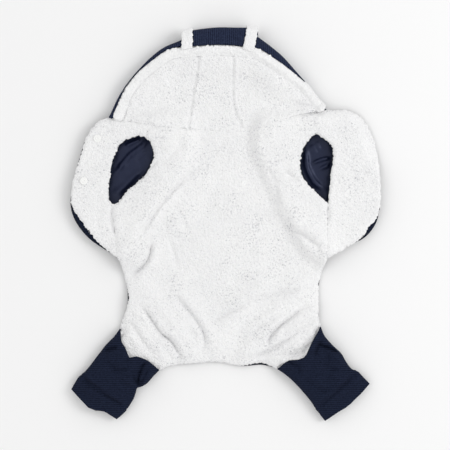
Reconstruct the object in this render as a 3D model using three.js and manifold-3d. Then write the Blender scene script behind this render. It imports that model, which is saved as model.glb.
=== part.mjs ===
// A hooded dog jumpsuit, laid open on its back with the belly flaps spread and the lining up.
// Millimetres. +Z is up, +Y runs towards the hood, and +X is the right-hand side seen from above.
import * as THREE from "three";
import { mergeVertices } from "three/addons/utils/BufferGeometryUtils.js";
import Module from "manifold-3d";

const wasm = await Module();
wasm.setup();

// Driving sizes of the garment laid flat
const CHEST_WIDTH = 404; // from flap edge to flap edge
const WAIST_WIDTH = 256;
const BODY_LENGTH = 320; // from the neck seam to the crotch
const HOOD_WIDTH = 288; // along the neck seam
const HOOD_LENGTH = 120; // from the neck seam to the top of the hood
const TAB_WIDTH = 99; // centre panel of the hood
const HOOD_LIP = 24; // how far the shell turns back over the opening, at the centre
const EDGE_MARGIN = 8; // widest strip of shell that shows past the lining of a flap

// Cloth and the play between its layers
const SHELL_WALL = 1.5;
const LINING_WALL = 5;
const STRIPE_WALL = 2.5;
const GAP = 0.3;
const TUBE_GAP = 0.45; // between a leg's shell and its lining

// Hood rim
const RIM_TURN = 3; // least depth of the turned edge, seen from above
const RIM_HEIGHT = 16.5;
const TAB_TURN = 9;
const TAB_HEIGHT = 21;
const RIM_FOOT = 2.5; // how far the turned edge runs on into the panel
const LEAST_RETURN = 0.6; // least that the edge runs back past its turn
const STRIPE_WIDTH = 14;
const BINDING_WIDTH = 13.5;
const BINDING_HEIGHT = 9;

// Armholes and front-leg sleeves
const ARMHOLE_LENGTH = 97;
const ARMHOLE_WIDTH = 44;
const SLEEVE_WIDTH = 65;
const SLEEVE_LENGTH = 101; // from the crown of the armhole to the hem
const SLEEVE_HEIGHT = 10;
const SLEEVE_WALL = 1.5;
const SLEEVE_SHOULDER = 20; // how far a panel takes to come down beside the sleeve

// Hind legs
const LEG_LENGTH = 94;
const LEG_HEM_WIDTH = 73;
const LEG_HEIGHT = 20;
const LEG_LINING_WALL = 4;
const HEM_LENGTH = 21;
const HEM_STEP = 0.5;

// Press studs
const STUD_RADIUS = 5;
const STUD_HEIGHT = 2;
const STUD_POST_RADIUS = 1.3;
const STUD_CAP_HEIGHT = 1.4;
const STUD_BEVEL = 0.8;

const FOLD_HEIGHT = 7;
const FOLD_BREADTH = 16;
const CELL = 18.5; // spacing of the grid that carries the folds

const NAVY = 0x1d2438;
const NAVY_SATIN = 0x2b3350;
const SHERPA = 0xf0f0ee;
const STUD_WHITE = 0xf7f7f5;

// Flap edge from the hood corner round to the waist, as shares of half the chest width and of the body length.
// margin is the share of EDGE_MARGIN by which the lining stops short.
const FLAP_EDGE = {
  columns: ["across", "down", "margin"],
  left: [
    [-0.713, -0.008, 0],
    [-0.772, 0.004, 0],
    [-0.824, 0.037, 0],
    [-0.875, 0.089, 0.15],
    [-0.901, 0.142, 0.25],
    [-0.93, 0.211, 0.1],
    [-0.955, 0.284, 0.1],
    [-0.965, 0.341, 0.3],
    [-0.946, 0.394, 0.8],
    [-0.901, 0.443, 1],
    [-0.837, 0.4875, 0.8],
    [-0.753, 0.524, 0.35],
    [-0.656, 0.561, 0],
  ],
  right: [
    [0.811, -0.041, 0],
    [0.888, -0.02, 0],
    [0.946, 0.02, 0],
    [0.991, 0.081, 0],
    [1.017, 0.154, 0],
    [1.03, 0.244, 0],
    [1.03, 0.345, 0],
    [1.017, 0.406, 0.4],
    [0.978, 0.451, 0.9],
    [0.927, 0.483, 0.4],
    [0.85, 0.508, 0.15],
    [0.689, 0.565, 0],
  ],
};

// Waist edge from the flap down to the leg, as shares of half the waist width and of the body length
const WAIST_EDGE = {
  columns: ["across", "down"],
  left: [
    [-0.995, 0.593],
    [-0.965, 0.65],
    [-0.945, 0.711],
    [-0.955, 0.78],
    [-1.016, 0.845],
  ],
  right: [
    [1.036, 0.617],
    [1.016, 0.67],
    [1.005, 0.731],
    [1.0, 0.79],
    [1.026, 0.837],
  ],
};

// Crotch edge from the left leg to the right one, in the same shares as the waist.
// margin is the share of EDGE_MARGIN by which the lining stops short.
const CROTCH_EDGE = {
  columns: ["across", "down", "margin"],
  rows: [
    [-0.609, 1.016, 0],
    [-0.51, 0.999, 0],
    [-0.254, 0.987, 0],
    [-0.05, 0.983, 0],
    [0.234, 1.003, 0.2],
    [0.427, 0.999, 0.5],
    [0.579, 1.012, 0],
  ],
};

// Neck seam from left to right, as shares of half the hood width and of the body length
const NECK_SEAM = {
  columns: ["across", "down"],
  rows: [
    [-1.0, -0.008],
    [-0.54, 0.028],
    [0, 0.044],
    [0.45, 0.016],
    [0.72, -0.022],
    [0.984, -0.041],
  ],
};

// Rim of each side of the hood, from the neck corner up to the centre panel.
// across is a share of half the hood width, up of HOOD_LENGTH, and lip of HOOD_LIP.
const HOOD_RIM = {
  columns: ["across", "up", "lip"],
  left: [
    [-1.0, 0.022, 0.2],
    [-0.9275, 0.221, 0.22],
    [-0.8447, 0.379, 0.25],
    [-0.7375, 0.537, 0.27],
    [-0.629, 0.669, 0.28],
    [-0.509, 0.778, 0.31],
    [-0.345, 0.862, 0.34],
  ],
  right: [
    [0.984, 0.109, 0.13],
    [0.885, 0.238, 0.13],
    [0.794, 0.379, 0.13],
    [0.685, 0.529, 0.2],
    [0.569, 0.683, 0.34],
    [0.46, 0.792, 0.44],
    [0.345, 0.895, 0.55],
  ],
};

// Rim of the hood's centre panel from left to right. across is a share of half TAB_WIDTH.
const TAB_RIM = {
  columns: ["across", "up", "lip"],
  rows: [
    [-1, 0.935, 0.83],
    [-0.72, 0.967, 0.9],
    [-0.36, 0.988, 0.95],
    [0, 1, 0.98],
    [0.4, 0.997, 1],
    [0.72, 0.995, 1.08],
    [1, 0.975, 1.15],
  ],
};

// Seams between the three panels of the hood lining, as shares of half TAB_WIDTH and of HOOD_LENGTH
const LINING_SEAM = {
  columns: ["across", "up"],
  left: [
    [-0.85, -0.5],
    [-0.79, -0.11],
    [-0.66, 0.25],
    [-0.5, 0.68],
    [-0.46, 2],
  ],
  right: [
    [0.7, -0.5],
    [0.62, -0.11],
    [0.4, 0.14],
    [0.38, 0.68],
    [0.38, 2],
  ],
};

// Half-breadths of an armhole along its length, as shares of ARMHOLE_LENGTH and ARMHOLE_WIDTH.
// inner faces the middle of the back, and outer the flap.
const ARMHOLE_LEAF = {
  columns: ["along", "inner", "outer"],
  left: [
    [0.04, 0.13, 0.12],
    [0.12, 0.18, 0.23],
    [0.27, 0.25, 0.35],
    [0.45, 0.42, 0.48],
    [0.62, 0.52, 0.55],
    [0.78, 0.5, 0.54],
    [0.9, 0.38, 0.36],
    [0.97, 0.2, 0.18],
  ],
  right: [
    [0.113, 0.16, 0.06],
    [0.265, 0.42, 0.14],
    [0.425, 0.6, 0.24],
    [0.586, 0.6, 0.36],
    [0.746, 0.48, 0.38],
    [0.85, 0.32, 0.24],
    [0.917, 0.14, 0.1],
  ],
};

// The two sides. foot is the armhole's lower tip in shares of the chest and body, and slit is the armhole's length as a
// share of ARMHOLE_LENGTH. lean turns the armhole and splay the sleeve outwards, in degrees. crown is where the
// sleeve's axis starts along the armhole, and shift moves that start inwards by a share of ARMHOLE_WIDTH. studs are in
// shares of the chest and body. legSplay turns a leg and stripeLean a stripe of the hood, in degrees, and hemTurn is
// how far the hem is off square.
const SIDES = {
  left: {
    sign: -1,
    foot: [-0.695, 0.341],
    lean: -26.5,
    slit: 1,
    crown: 0.74,
    shift: 0,
    splay: 30.5,
    studs: { upper: [-0.785, 0.077], lower: [-0.872, 0.248] },
    legSplay: 39.6,
    hemTurn: 6,
    stripeLean: 0,
  },
  right: {
    sign: 1,
    foot: [0.695, 0.341],
    lean: -9.8,
    slit: 0.945,
    crown: 0.77,
    shift: 0.23,
    splay: 26,
    studs: { upper: [0.84, 0.077], lower: [0.88, 0.248] },
    legSplay: 41.1,
    hemTurn: 0.9,
    stripeLean: 11,
  },
};

// Rolls of loose cloth. Each runs from one point to another past a bend, in shares of half the chest width and of the
// body length; height is a share of FOLD_HEIGHT, and breadth is the roll's half-width as a share of FOLD_BREADTH.
const FOLDS = {
  columns: ["from", "bend", "to", "height", "breadth"],
  rows: {
    flank_left: [[-0.3, 0.2], [-0.5, 0.31], [-0.6, 0.53], 0.8, 1.06],
    back_left: [[-0.13, 0.26], [-0.35, 0.39], [-0.44, 0.58], 0.4, 1.12],
    neck_left: [[-0.66, 0.01], [-0.48, 0.03], [-0.35, 0.07], 0.4, 0.94],
    waist_left: [[-0.5, 0.66], [-0.52, 0.7], [-0.44, 0.76], 0.5, 0.94],
    thigh_left_outer: [[-0.57, 0.74], [-0.51, 0.84], [-0.39, 0.95], 0.9, 0.94],
    thigh_left_inner: [[-0.43, 0.72], [-0.28, 0.82], [-0.19, 0.95], 0.9, 0.94],
    rump_left: [[-0.26, 0.69], [-0.1, 0.8], [-0.04, 0.93], 0.4, 1.0],
    flank_right: [[0.42, 0.38], [0.63, 0.43], [0.69, 0.53], 0.8, 0.94],
    neck_right: [[0.35, 0.04], [0.5, 0.02], [0.66, 0.01], 0.5, 0.94],
    thigh_right_outer: [[0.6, 0.78], [0.5, 0.87], [0.37, 0.96], 0.9, 0.94],
    thigh_right_inner: [[0.51, 0.7], [0.31, 0.8], [0.17, 0.95], 0.9, 0.94],
    rump_right: [[0.27, 0.68], [0.12, 0.75], [0.01, 0.88], 0.5, 1.0],
  },
};

// A hind leg along its length. height is a share of LEG_HEIGHT; pleat and depth place the crease in its upper face,
// as a share across it from the outer edge and a share of its height.
const LEG_SECTIONS = {
  columns: ["along", "height", "leftPleat", "leftDepth", "rightPleat", "rightDepth"],
  rows: [
    [0, 0.9, 0.5, 0.1, 0.3, 0.05],
    [0.1, 0.98, 0.6, 0.2, 0.3, 0.1],
    [0.25, 1, 0.76, 0.25, 0.2, 0.2],
    [0.42, 0.98, 0.92, 0.25, 0.3, 0.12],
    [0.6, 0.93, 0.95, 0.1, 0.45, 0.05],
    [0.76, 0.88, 0.9, 0.05, 0.5, 0],
  ],
};
const LEG_END_HEIGHT = 0.72; // share of LEG_HEIGHT at the open end

// How far the upper edge of each leg opening is set back from the leg seam, along it from the outer end,
// as shares of the seam and of LEG_LENGTH
const LEG_MOUTH = {
  columns: ["along", "left", "right"],
  rows: [
    [0, 0.01, 0.01],
    [0.18, 0.07, 0.06],
    [0.36, 0.12, 0.12],
    [0.5, 0.1, 0.135],
    [0.62, 0.05, 0.1],
    [0.8, 0.02, 0.025],
    [1, 0.01, 0.01],
  ],
};

// A sleeve along its axis from the crown of the armhole, in shares of SLEEVE_LENGTH and SLEEVE_WIDTH
const SLEEVE_SECTIONS = {
  columns: ["along", "width", "height"],
  rows: [
    [-0.35, 0.35, 0.6],
    [-0.29, 0.62, 0.9],
    [-0.14, 0.88, 1],
    [0.15, 1, 1],
    [1, 1, 1],
  ],
};
const SLEEVE_HEAD = -0.14; // where the sleeve reaches nearly its full width

const rowsOf = (table, name = "rows") =>
  table[name].map((row) => Object.fromEntries(table.columns.map((key, i) => [key, row[i]])));

// How far a leg's edges stand out from straight lines, as shares of LEG_HEM_WIDTH, and its open end from a straight
// hem, as a share of LEG_LENGTH. at runs along the leg for the edges, and across it from the outer edge for the hem.
const LEG_EDGES = {
  columns: ["at", "leftOuter", "leftInner", "leftHem", "rightOuter", "rightInner", "rightHem"],
  rows: [
    [0, 0, 0, 0, 0, 0, 0.01],
    [0.2, 0.01, 0.01, 0.055, -0.05, 0.005, 0.03],
    [0.4, 0.02, -0.02, 0.075, -0.045, 0, 0.035],
    [0.55, 0.01, -0.065, 0.06, -0.02, 0, 0.035],
    [0.7, 0, -0.045, 0.035, 0.01, 0.005, 0.02],
    [0.85, 0.03, -0.01, 0.015, 0.015, 0, 0.01],
    [1, 0, 0, 0, 0, 0, 0],
  ],
};

const onChest = ([across, down]) => new THREE.Vector2((across * CHEST_WIDTH) / 2, -down * BODY_LENGTH);
const onWaist = ([across, down]) => new THREE.Vector2((across * WAIST_WIDTH) / 2, -down * BODY_LENGTH);
const onNeck = ([across, down]) => new THREE.Vector2((across * HOOD_WIDTH) / 2, -down * BODY_LENGTH);
const onHood = ([across, up]) => new THREE.Vector2((across * HOOD_WIDTH) / 2, up * HOOD_LENGTH);
const onTab = ([across, up]) => new THREE.Vector2((across * TAB_WIDTH) / 2, up * HOOD_LENGTH);

// A smooth line through points, sampled evenly
function smooth(points, samples) {
  const curve = new THREE.CatmullRomCurve3(
    points.map((p) => new THREE.Vector3(p.x, p.y, p.z ?? 0)),
    false,
    "centripetal",
  );
  return curve.getPoints(samples);
}

// Unit vector to the left of a line's direction at each of its points
function leftNormals(line) {
  return line.map((_, i) => {
    const before = line[Math.max(i - 1, 0)];
    const after = line[Math.min(i + 1, line.length - 1)];
    return new THREE.Vector2(before.y - after.y, after.x - before.x).normalize();
  });
}

// The value of a column of a table at a share of its length, read straight between rows
function lookUp(rows, key, value, at) {
  const next = rows.findIndex((row) => row[key] >= at);
  if (next === 0) return rows[0][value];
  if (next < 0) return rows[rows.length - 1][value];
  const [low, high] = [rows[next - 1], rows[next]];
  return THREE.MathUtils.lerp(low[value], high[value], (at - low[key]) / (high[key] - low[key]));
}

function solidOf(geometry) {
  geometry.deleteAttribute("normal");
  geometry.deleteAttribute("uv");
  const merged = mergeVertices(geometry, 1e-4);
  const vertProperties = new Float32Array(merged.getAttribute("position").array);
  const triVerts = new Uint32Array(merged.index.array);
  return new wasm.Manifold(new wasm.Mesh({ numProp: 3, vertProperties, triVerts }));
}

// Closed solid from vertices and triangles, turned to face outwards
function closedSolid(points, triangles) {
  let volume = 0;
  const [a, b, c] = [new THREE.Vector3(), new THREE.Vector3(), new THREE.Vector3()];
  for (const [i, j, k] of triangles) {
    volume += a.copy(points[i]).dot(b.copy(points[j]).cross(c.copy(points[k])));
  }
  const index = triangles.flatMap(([i, j, k]) => (volume > 0 ? [i, j, k] : [i, k, j]));
  const geometry = new THREE.BufferGeometry().setFromPoints(points);
  geometry.setIndex(index);
  return solidOf(geometry);
}

// Solid through sections of equal count. Each section is a list of flat points, and place(i, point) puts it in space.
function loft(sections, place) {
  const count = sections[0].length;
  const points = sections.flatMap((section, i) => section.map((p) => place(i, p)));
  const triangles = [];
  for (let i = 0; i + 1 < sections.length; i++) {
    for (let j = 0; j < count; j++) {
      const [here, along] = [i * count + j, i * count + ((j + 1) % count)];
      triangles.push([here, along, along + count], [here, along + count, here + count]);
    }
  }
  const last = (sections.length - 1) * count;
  for (const [i, j, k] of THREE.ShapeUtils.triangulateShape(sections[0], [])) triangles.push([k, j, i]);
  for (const [i, j, k] of THREE.ShapeUtils.triangulateShape(sections.at(-1), [])) {
    triangles.push([last + i, last + j, last + k]);
  }
  // A section drawn clockwise turns its own end faces round
  if (THREE.ShapeUtils.isClockWise(sections[0])) {
    const walls = (sections.length - 1) * count * 2;
    for (let t = 0; t < walls; t++) triangles[t] = [triangles[t][0], triangles[t][2], triangles[t][1]];
  }
  return closedSolid(points, triangles);
}

function prism(outline, low, high) {
  const shape = new THREE.Shape(outline.map((p) => new THREE.Vector2(p.x, p.y)));
  const geometry = new THREE.ExtrudeGeometry(shape, { depth: high - low, bevelEnabled: false });
  return solidOf(geometry.translate(0, 0, low));
}

const BELOW = -50;
const ABOVE = 100;
const FAR = 2 * (CHEST_WIDTH + BODY_LENGTH + HOOD_LENGTH);
const column = (outline) => prism(outline, BELOW, ABOVE);

// Strip of even breadth along a line, used to part two panels at their seam
function band(line, breadth) {
  const normals = leftNormals(line);
  const shifted = (side) => line.map((p, i) => normals[i].clone().multiplyScalar((side * breadth) / 2).add(flat(p)));
  return column([...shifted(1), ...shifted(-1).reverse()]);
}

const flat = (p) => new THREE.Vector2(p.x, p.y);
const across = (direction) => new THREE.Vector2(-direction.y, direction.x);
const shifted = (point, direction, distance) => point.clone().addScaledVector(direction, distance);

function distanceToSegment(point, from, to) {
  const along = to.clone().sub(from);
  const share = THREE.MathUtils.clamp(point.clone().sub(from).dot(along) / along.lengthSq(), 0, 1);
  return point.distanceTo(shifted(from, along, share));
}

// Armhole and sleeve of a side in the plan
function frameOf(side) {
  const lean = THREE.MathUtils.degToRad(side.lean) * side.sign;
  const splay = THREE.MathUtils.degToRad(side.splay);
  const foot = onChest(side.foot);
  const slit = new THREE.Vector2(Math.sin(lean), Math.cos(lean));
  const middle = across(slit).multiplyScalar(side.sign);
  const axis = new THREE.Vector2(side.sign * Math.sin(splay), -Math.cos(splay));
  const onSlit = shifted(foot, slit, side.crown * ARMHOLE_LENGTH);
  const crown = shifted(onSlit, middle, side.shift * ARMHOLE_WIDTH);
  return { foot, slit, middle, axis, crown };
}

function armholeOutline(name) {
  const { foot, slit, middle } = frameOf(SIDES[name]);
  const rows = rowsOf(ARMHOLE_LEAF, name);
  const onSlit = (along) => shifted(foot, slit, along * ARMHOLE_LENGTH);
  const edge = (key, sign) =>
    rows.map((row) => shifted(onSlit(row.along), middle, sign * row[key] * ARMHOLE_WIDTH));
  const tips = [onSlit(0), onSlit(SIDES[name].slit)];
  const inner = smooth([tips[0], ...edge("inner", 1), tips[1]], 11);
  const outer = smooth([tips[0], ...edge("outer", -1), tips[1]], 11);
  return [...inner, ...outer.slice(1, -1).reverse()].map(flat);
}

const SLEEVE_LIFT = SLEEVE_HEIGHT + GAP;
const STRIPE_LIFT = STRIPE_WALL + GAP;
const SLEEVE_LINES = Object.values(SIDES).map((side) => {
  const { crown, axis } = frameOf(side);
  return { head: shifted(crown, axis, SLEEVE_HEAD * SLEEVE_LENGTH), hem: shifted(crown, axis, SLEEVE_LENGTH) };
});

const FOLD_LINES = Object.values(FOLDS.rows).map(([from, bend, to, height, breadth]) => {
  const curve = new THREE.QuadraticBezierCurve(onChest(from), onChest(bend), onChest(to));
  return { points: curve.getPoints(8), height: height * FOLD_HEIGHT, breadth: breadth * FOLD_BREADTH };
});

// Height of the shell's underside above the ground
function rise(x, y) {
  const point = new THREE.Vector2(x, y);
  const near = SLEEVE_LINES.map(({ head, hem }) => distanceToSegment(point, head, hem) - SLEEVE_WIDTH / 2);
  const level = Math.SQRT2 * CELL;
  const beside = THREE.MathUtils.smoothstep(Math.min(...near), level, level + SLEEVE_SHOULDER);
  const inHood = THREE.MathUtils.smoothstep(y, 0, SLEEVE_SHOULDER);
  let height = SLEEVE_LIFT * (1 - beside) * (1 - inHood);
  for (const { points, height: top, breadth } of FOLD_LINES) {
    const away = Math.min(...points.slice(1).map((p, i) => distanceToSegment(point, points[i], p)));
    height += (top * Math.max(0, Math.exp(-((away / breadth) ** 2)) - 0.05)) / 0.95;
  }
  const onCentre = 1 - THREE.MathUtils.smoothstep(Math.abs(x), TAB_WIDTH / 2 + CELL, TAB_WIDTH / 2 + 3 * CELL);
  const onHoodPart = THREE.MathUtils.smoothstep(y, -3.5 * CELL, -CELL);
  return height + STRIPE_LIFT * onCentre * onHoodPart;
}

// Grid of the body and hood layers, with the heights of the shell's underside at its corners
const gridColumns = Math.ceil(CHEST_WIDTH / CELL) + 4;
const gridRows = Math.ceil((BODY_LENGTH + HOOD_LENGTH) / CELL) + 4;
const corner = (i, row) => [(i - gridColumns / 2) * CELL, row * CELL - BODY_LENGTH - 1.5 * CELL];
const heights = Array.from({ length: gridRows + 1 }, (_, row) =>
  Array.from({ length: gridColumns + 1 }, (_, i) => rise(...corner(i, row))),
);

// The cells under a press stud are level
function levelUnder(point) {
  const [left, low] = corner(0, 0);
  const reach = STUD_RADIUS + GAP;
  const cellAt = (value, start) => Math.floor((value - start) / CELL);
  const around = [];
  for (let row = cellAt(point.y - reach, low); row <= cellAt(point.y + reach, low) + 1; row++) {
    for (let i = cellAt(point.x - reach, left); i <= cellAt(point.x + reach, left) + 1; i++) around.push([row, i]);
  }
  const level = Math.max(STUD_CLEARANCE, ...around.map(([row, i]) => heights[row][i]));
  for (const [row, i] of around) heights[row][i] = level;
}
const STUD_CLEARANCE = 3 * GAP + STUD_HEIGHT;
for (const { studs } of Object.values(SIDES)) Object.values(studs).map(onChest).forEach(levelUnder);

// Height of the shell's underside as the grid's triangles carry it
function ground(x, y) {
  const [left, low] = corner(0, 0);
  const i = THREE.MathUtils.clamp(Math.floor((x - left) / CELL), 0, gridColumns - 1);
  const row = THREE.MathUtils.clamp(Math.floor((y - low) / CELL), 0, gridRows - 1);
  const [u, v] = [(x - left) / CELL - i, (y - low) / CELL - row];
  const [near, far] = [heights[row][i], heights[row + 1][i + 1]];
  const side = u > v ? heights[row][i + 1] : heights[row + 1][i];
  return u > v ? near + (side - near) * u + (far - side) * v : near + (side - near) * v + (far - side) * u;
}

// Layer of cloth over the whole plan, from one height above the shell's underside up by its wall
function layer(under, wall) {
  const points = [];
  for (const level of [under, under + wall]) {
    for (let row = 0; row <= gridRows; row++) {
      for (let i = 0; i <= gridColumns; i++) points.push(new THREE.Vector3(...corner(i, row), heights[row][i] + level));
    }
  }
  const size = (gridColumns + 1) * (gridRows + 1);
  const triangles = [];
  const quad = (a, b, c, d) => triangles.push([a, b, c], [a, c, d]);
  for (let row = 0; row < gridRows; row++) {
    for (let i = 0; i < gridColumns; i++) {
      const here = row * (gridColumns + 1) + i;
      const up = here + gridColumns + 1;
      quad(size + here, size + here + 1, size + up + 1, size + up);
      quad(here, up, up + 1, here + 1);
    }
  }
  const wallOver = (a, b) => quad(a, b, size + b, size + a);
  for (let i = 0; i < gridColumns; i++) {
    wallOver(i, i + 1);
    wallOver(gridRows * (gridColumns + 1) + i + 1, gridRows * (gridColumns + 1) + i);
  }
  for (let row = 0; row < gridRows; row++) {
    wallOver((row + 1) * (gridColumns + 1), row * (gridColumns + 1));
    wallOver(row * (gridColumns + 1) + gridColumns, (row + 1) * (gridColumns + 1) + gridColumns);
  }
  return closedSolid(points, triangles);
}

// Hood rim. A station is a point of the rim with the way inwards, the lip and the turn there.
const rimTop = ({ x, y }) => {
  const share = 1 - THREE.MathUtils.smoothstep(Math.abs(x), TAB_WIDTH / 2, TAB_WIDTH / 2 + 4 * CELL);
  return ground(x, y) + THREE.MathUtils.lerp(RIM_HEIGHT, TAB_HEIGHT, share);
};

function station(point, inwards, lip) {
  const turn = THREE.MathUtils.clamp(lip, RIM_TURN, TAB_TURN);
  return { point: flat(point), inwards, turn, lip: Math.max(lip, turn + LEAST_RETURN), base: ground(point.x, point.y) };
}

function sideRim(name) {
  const points = HOOD_RIM[name].map((row) => {
    const p = onHood(row);
    return new THREE.Vector3(p.x, p.y, row[2] * HOOD_LIP);
  });
  const line = smooth(points, 8);
  const turnIn = name === "left" ? -1 : 1;
  const normals = leftNormals(line);
  return line.map((p, i) => station(p, normals[i].multiplyScalar(turnIn), p.z));
}

function tabRim() {
  const points = TAB_RIM.rows.map((row) => {
    const p = onTab(row);
    return new THREE.Vector3(p.x, p.y, row[2] * HOOD_LIP);
  });
  return smooth(points, 8).map((p) => station(p, new THREE.Vector2(0, -1), p.z));
}

const RIMS = { left: sideRim("left"), centre: tabRim(), right: sideRim("right") };
const TURN_STEPS = 4;

function turned(turn, low, high, inset, reverse) {
  const points = [];
  for (let i = 0; i <= TURN_STEPS; i++) {
    const angle = Math.PI * (i / TURN_STEPS - 0.5);
    const middle = (low + high) / 2;
    const half = (high - low) / 2 - inset;
    points.push([turn - (turn - inset) * Math.cos(angle), middle + half * Math.sin(angle)]);
  }
  return reverse ? points.reverse() : points;
}

const pairs = (points) => points.map(([u, z]) => new THREE.Vector2(u, z));

// Section of the turned edge: under the lining, up round the turn and back to the lip
function rimSection({ turn, lip, base, point }, wall) {
  const top = rimTop(point);
  return pairs([
    [turn + RIM_FOOT, base],
    ...turned(turn, base, top, 0, false),
    [lip, top],
    [lip, top - wall],
    ...turned(turn, base, top, wall, true),
    [turn + RIM_FOOT, base + wall],
  ]);
}

// The lower half of the turned edge follows the panel that it runs into
function rimEdge(stations, wall) {
  const sections = stations.map((s) => rimSection(s, wall));
  return loft(sections, (i, p) => {
    const { point, inwards, base } = stations[i];
    const at = shifted(point, inwards, p.x);
    const up = THREE.MathUtils.clamp((p.y - base - SHELL_WALL) / (RIM_HEIGHT / 2), 0, 1);
    return new THREE.Vector3(at.x, at.y, p.y + (ground(at.x, at.y) - base) * (1 - up));
  });
}

const insideRim = (extra) => (s) => shifted(s.point, s.inwards, s.turn + extra);

// Plan of the hood inside its turned edge
function hoodPlan(extra) {
  const rim = [...RIMS.left, ...RIMS.centre, ...[...RIMS.right].reverse()];
  return column([new THREE.Vector2(-HOOD_WIDTH / 2, -BODY_LENGTH / 4), ...rim.map(insideRim(extra)),
    new THREE.Vector2(HOOD_WIDTH / 2, -BODY_LENGTH / 4)]);
}

const neckLine = () => {
  const line = NECK_SEAM.rows.map(onNeck);
  return [new THREE.Vector2(-FAR, line[0].y), ...line, new THREE.Vector2(FAR, line.at(-1).y)];
};

const aboveNeck = () => column([...neckLine(), new THREE.Vector2(FAR, FAR), new THREE.Vector2(-FAR, FAR)]);

const bindingLine = () => {
  const place = (s) => shifted(s.point, s.inwards, s.lip + GAP + BINDING_WIDTH / 2);
  const [left, centre, right] = [RIMS.left, RIMS.centre, RIMS.right].map((rim) => rim.map(place));
  const ends = (line, from, to) => line.filter((_, i) => i >= from && i < line.length - to && i % 2 === 0);
  const points = [...ends(left, 0, 2), ...ends(centre, 2, 2), ...ends(right, 0, 2).reverse()];
  return smooth(points, 24).map(flat);
};

// Roll of sherpa round the opening, grown on all sides when it clears the parts beside it
function bindingRoll(grown) {
  const line = bindingLine();
  const normals = leftNormals(line);
  const highest = (i) => Math.max(...[-0.5, 0, 0.5].map((share) =>
    rimTop(shifted(line[i], normals[i], share * BINDING_WIDTH))));
  const tops = line.map((_, i) => highest(i) - GAP);
  const section = Array.from({ length: 10 }, (_, i) => {
    const angle = (i / 10) * 2 * Math.PI;
    const [c, s] = [Math.cos(angle), Math.sin(angle)];
    const soft = (v) => Math.sign(v) * Math.abs(v) ** 0.8;
    return new THREE.Vector2(soft(c) * (BINDING_WIDTH / 2 + grown), soft(s) * (BINDING_HEIGHT / 2 + grown));
  });
  return loft(line.map(() => section), (i, p) => {
    const at = shifted(line[i], normals[i], p.x);
    return new THREE.Vector3(at.x, at.y, tops[i] - BINDING_HEIGHT / 2 + p.y);
  });
}

function stripe(name) {
  const { sign } = SIDES[name];
  const middle = sign * (TAB_WIDTH / 2 - STRIPE_WIDTH / 2);
  const rim = RIMS.centre.map((s) => s.point);
  const lips = RIMS.centre;
  const sample = (x, value) => {
    const next = Math.max(1, lips.findIndex((s) => s.point.x >= x));
    const share = (x - rim[next - 1].x) / (rim[next].x - rim[next - 1].x);
    return THREE.MathUtils.lerp(value(lips[next - 1]), value(lips[next]), share);
  };
  const places = [-0.5, -0.17, 0.17, 0.5].map((share) => {
    const x = THREE.MathUtils.clamp(middle + share * (STRIPE_WIDTH - GAP), rim[0].x, rim.at(-1).x);
    return { x, y: sample(x, (s) => s.point.y), lip: sample(x, (s) => s.lip) };
  });
  const away = STRIPE_WALL + GAP;
  const tail = (y) => y + NECK_SEAM.rows[2][1] * BODY_LENGTH - CELL;
  const sections = places.map(({ y, lip, x }) => {
    const top = rimTop({ x, y });
    const outer = turned(TAB_TURN + away, 0, top + away, 0, false).map(([u, z]) => [u - away, z]);
    const inner = turned(TAB_TURN + away, 0, top + away, STRIPE_WALL, true).map(([u, z]) => [u - away, z]);
    return pairs([[tail(y), 0], ...outer, [lip, top + away], [lip, top + GAP], ...inner, [tail(y), STRIPE_WALL]]);
  });
  const lean = Math.tan(THREE.MathUtils.degToRad(SIDES[name].stripeLean));
  return loft(sections, (i, p) => {
    const over = p.y > TAB_HEIGHT / 2 ? Math.max(0, p.x) : 0;
    return new THREE.Vector3(places[i].x - lean * over, places[i].y - p.x, p.y);
  });
}

// Plan of the body, drawn in from the flap edges by the margin that the lining leaves
function bodyPlan(margin) {
  const flap = (name, sign) => {
    const line = smooth(
      rowsOf(FLAP_EDGE, name).map((row) => {
        const p = onChest([row.across, row.down]);
        return new THREE.Vector3(p.x, p.y, row.margin * margin);
      }),
      15,
    );
    const normals = leftNormals(line);
    return line.map((p, i) => shifted(flat(p), normals[i], sign * p.z));
  };
  const waist = (name) => smooth(WAIST_EDGE[name].map(onWaist), 5).map(flat);
  const crotchPoint = (row) => shifted(onWaist([row.across, row.down]), new THREE.Vector2(0, 1), row.margin * margin);
  const crotch = smooth(rowsOf(CROTCH_EDGE).map(crotchPoint), 8).map(flat);
  return column([...flap("left", 1), ...waist("left"), ...crotch, ...waist("right").reverse(),
    ...flap("right", -1).reverse(), new THREE.Vector2(HOOD_WIDTH / 2, HOOD_LENGTH / 2),
    new THREE.Vector2(-HOOD_WIDTH / 2, HOOD_LENGTH / 2)]);
}

// Seam between the back and a chest panel: from the neck through the armhole to the waist
function sideSeam(name) {
  const { foot, slit } = frameOf(SIDES[name]);
  const waist = onChest(FLAP_EDGE[name].at(-1));
  const down = waist.clone().sub(foot).normalize();
  return [shifted(foot, slit, 2 * ARMHOLE_LENGTH), foot, shifted(waist, down, CELL)];
}

function chestSide(name) {
  const seam = sideSeam(name);
  const out = SIDES[name].sign * FAR;
  return column([...seam, new THREE.Vector2(out, seam.at(-1).y), new THREE.Vector2(out, seam[0].y)]);
}

// Body layer parted into the back and the two chest panels
function bodyPanels(sheet, margin) {
  const neck = band(neckLine(), GAP);
  let whole = sheet.intersect(bodyPlan(margin)).subtract(aboveNeck()).subtract(neck);
  for (const name of Object.keys(SIDES)) {
    whole = whole.subtract(column(armholeOutline(name))).subtract(band(sideSeam(name), GAP));
  }
  const [left, right] = Object.keys(SIDES).map(chestSide);
  return {
    back: whole.subtract(left).subtract(right),
    left: whole.intersect(left),
    right: whole.intersect(right),
  };
}

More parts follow.
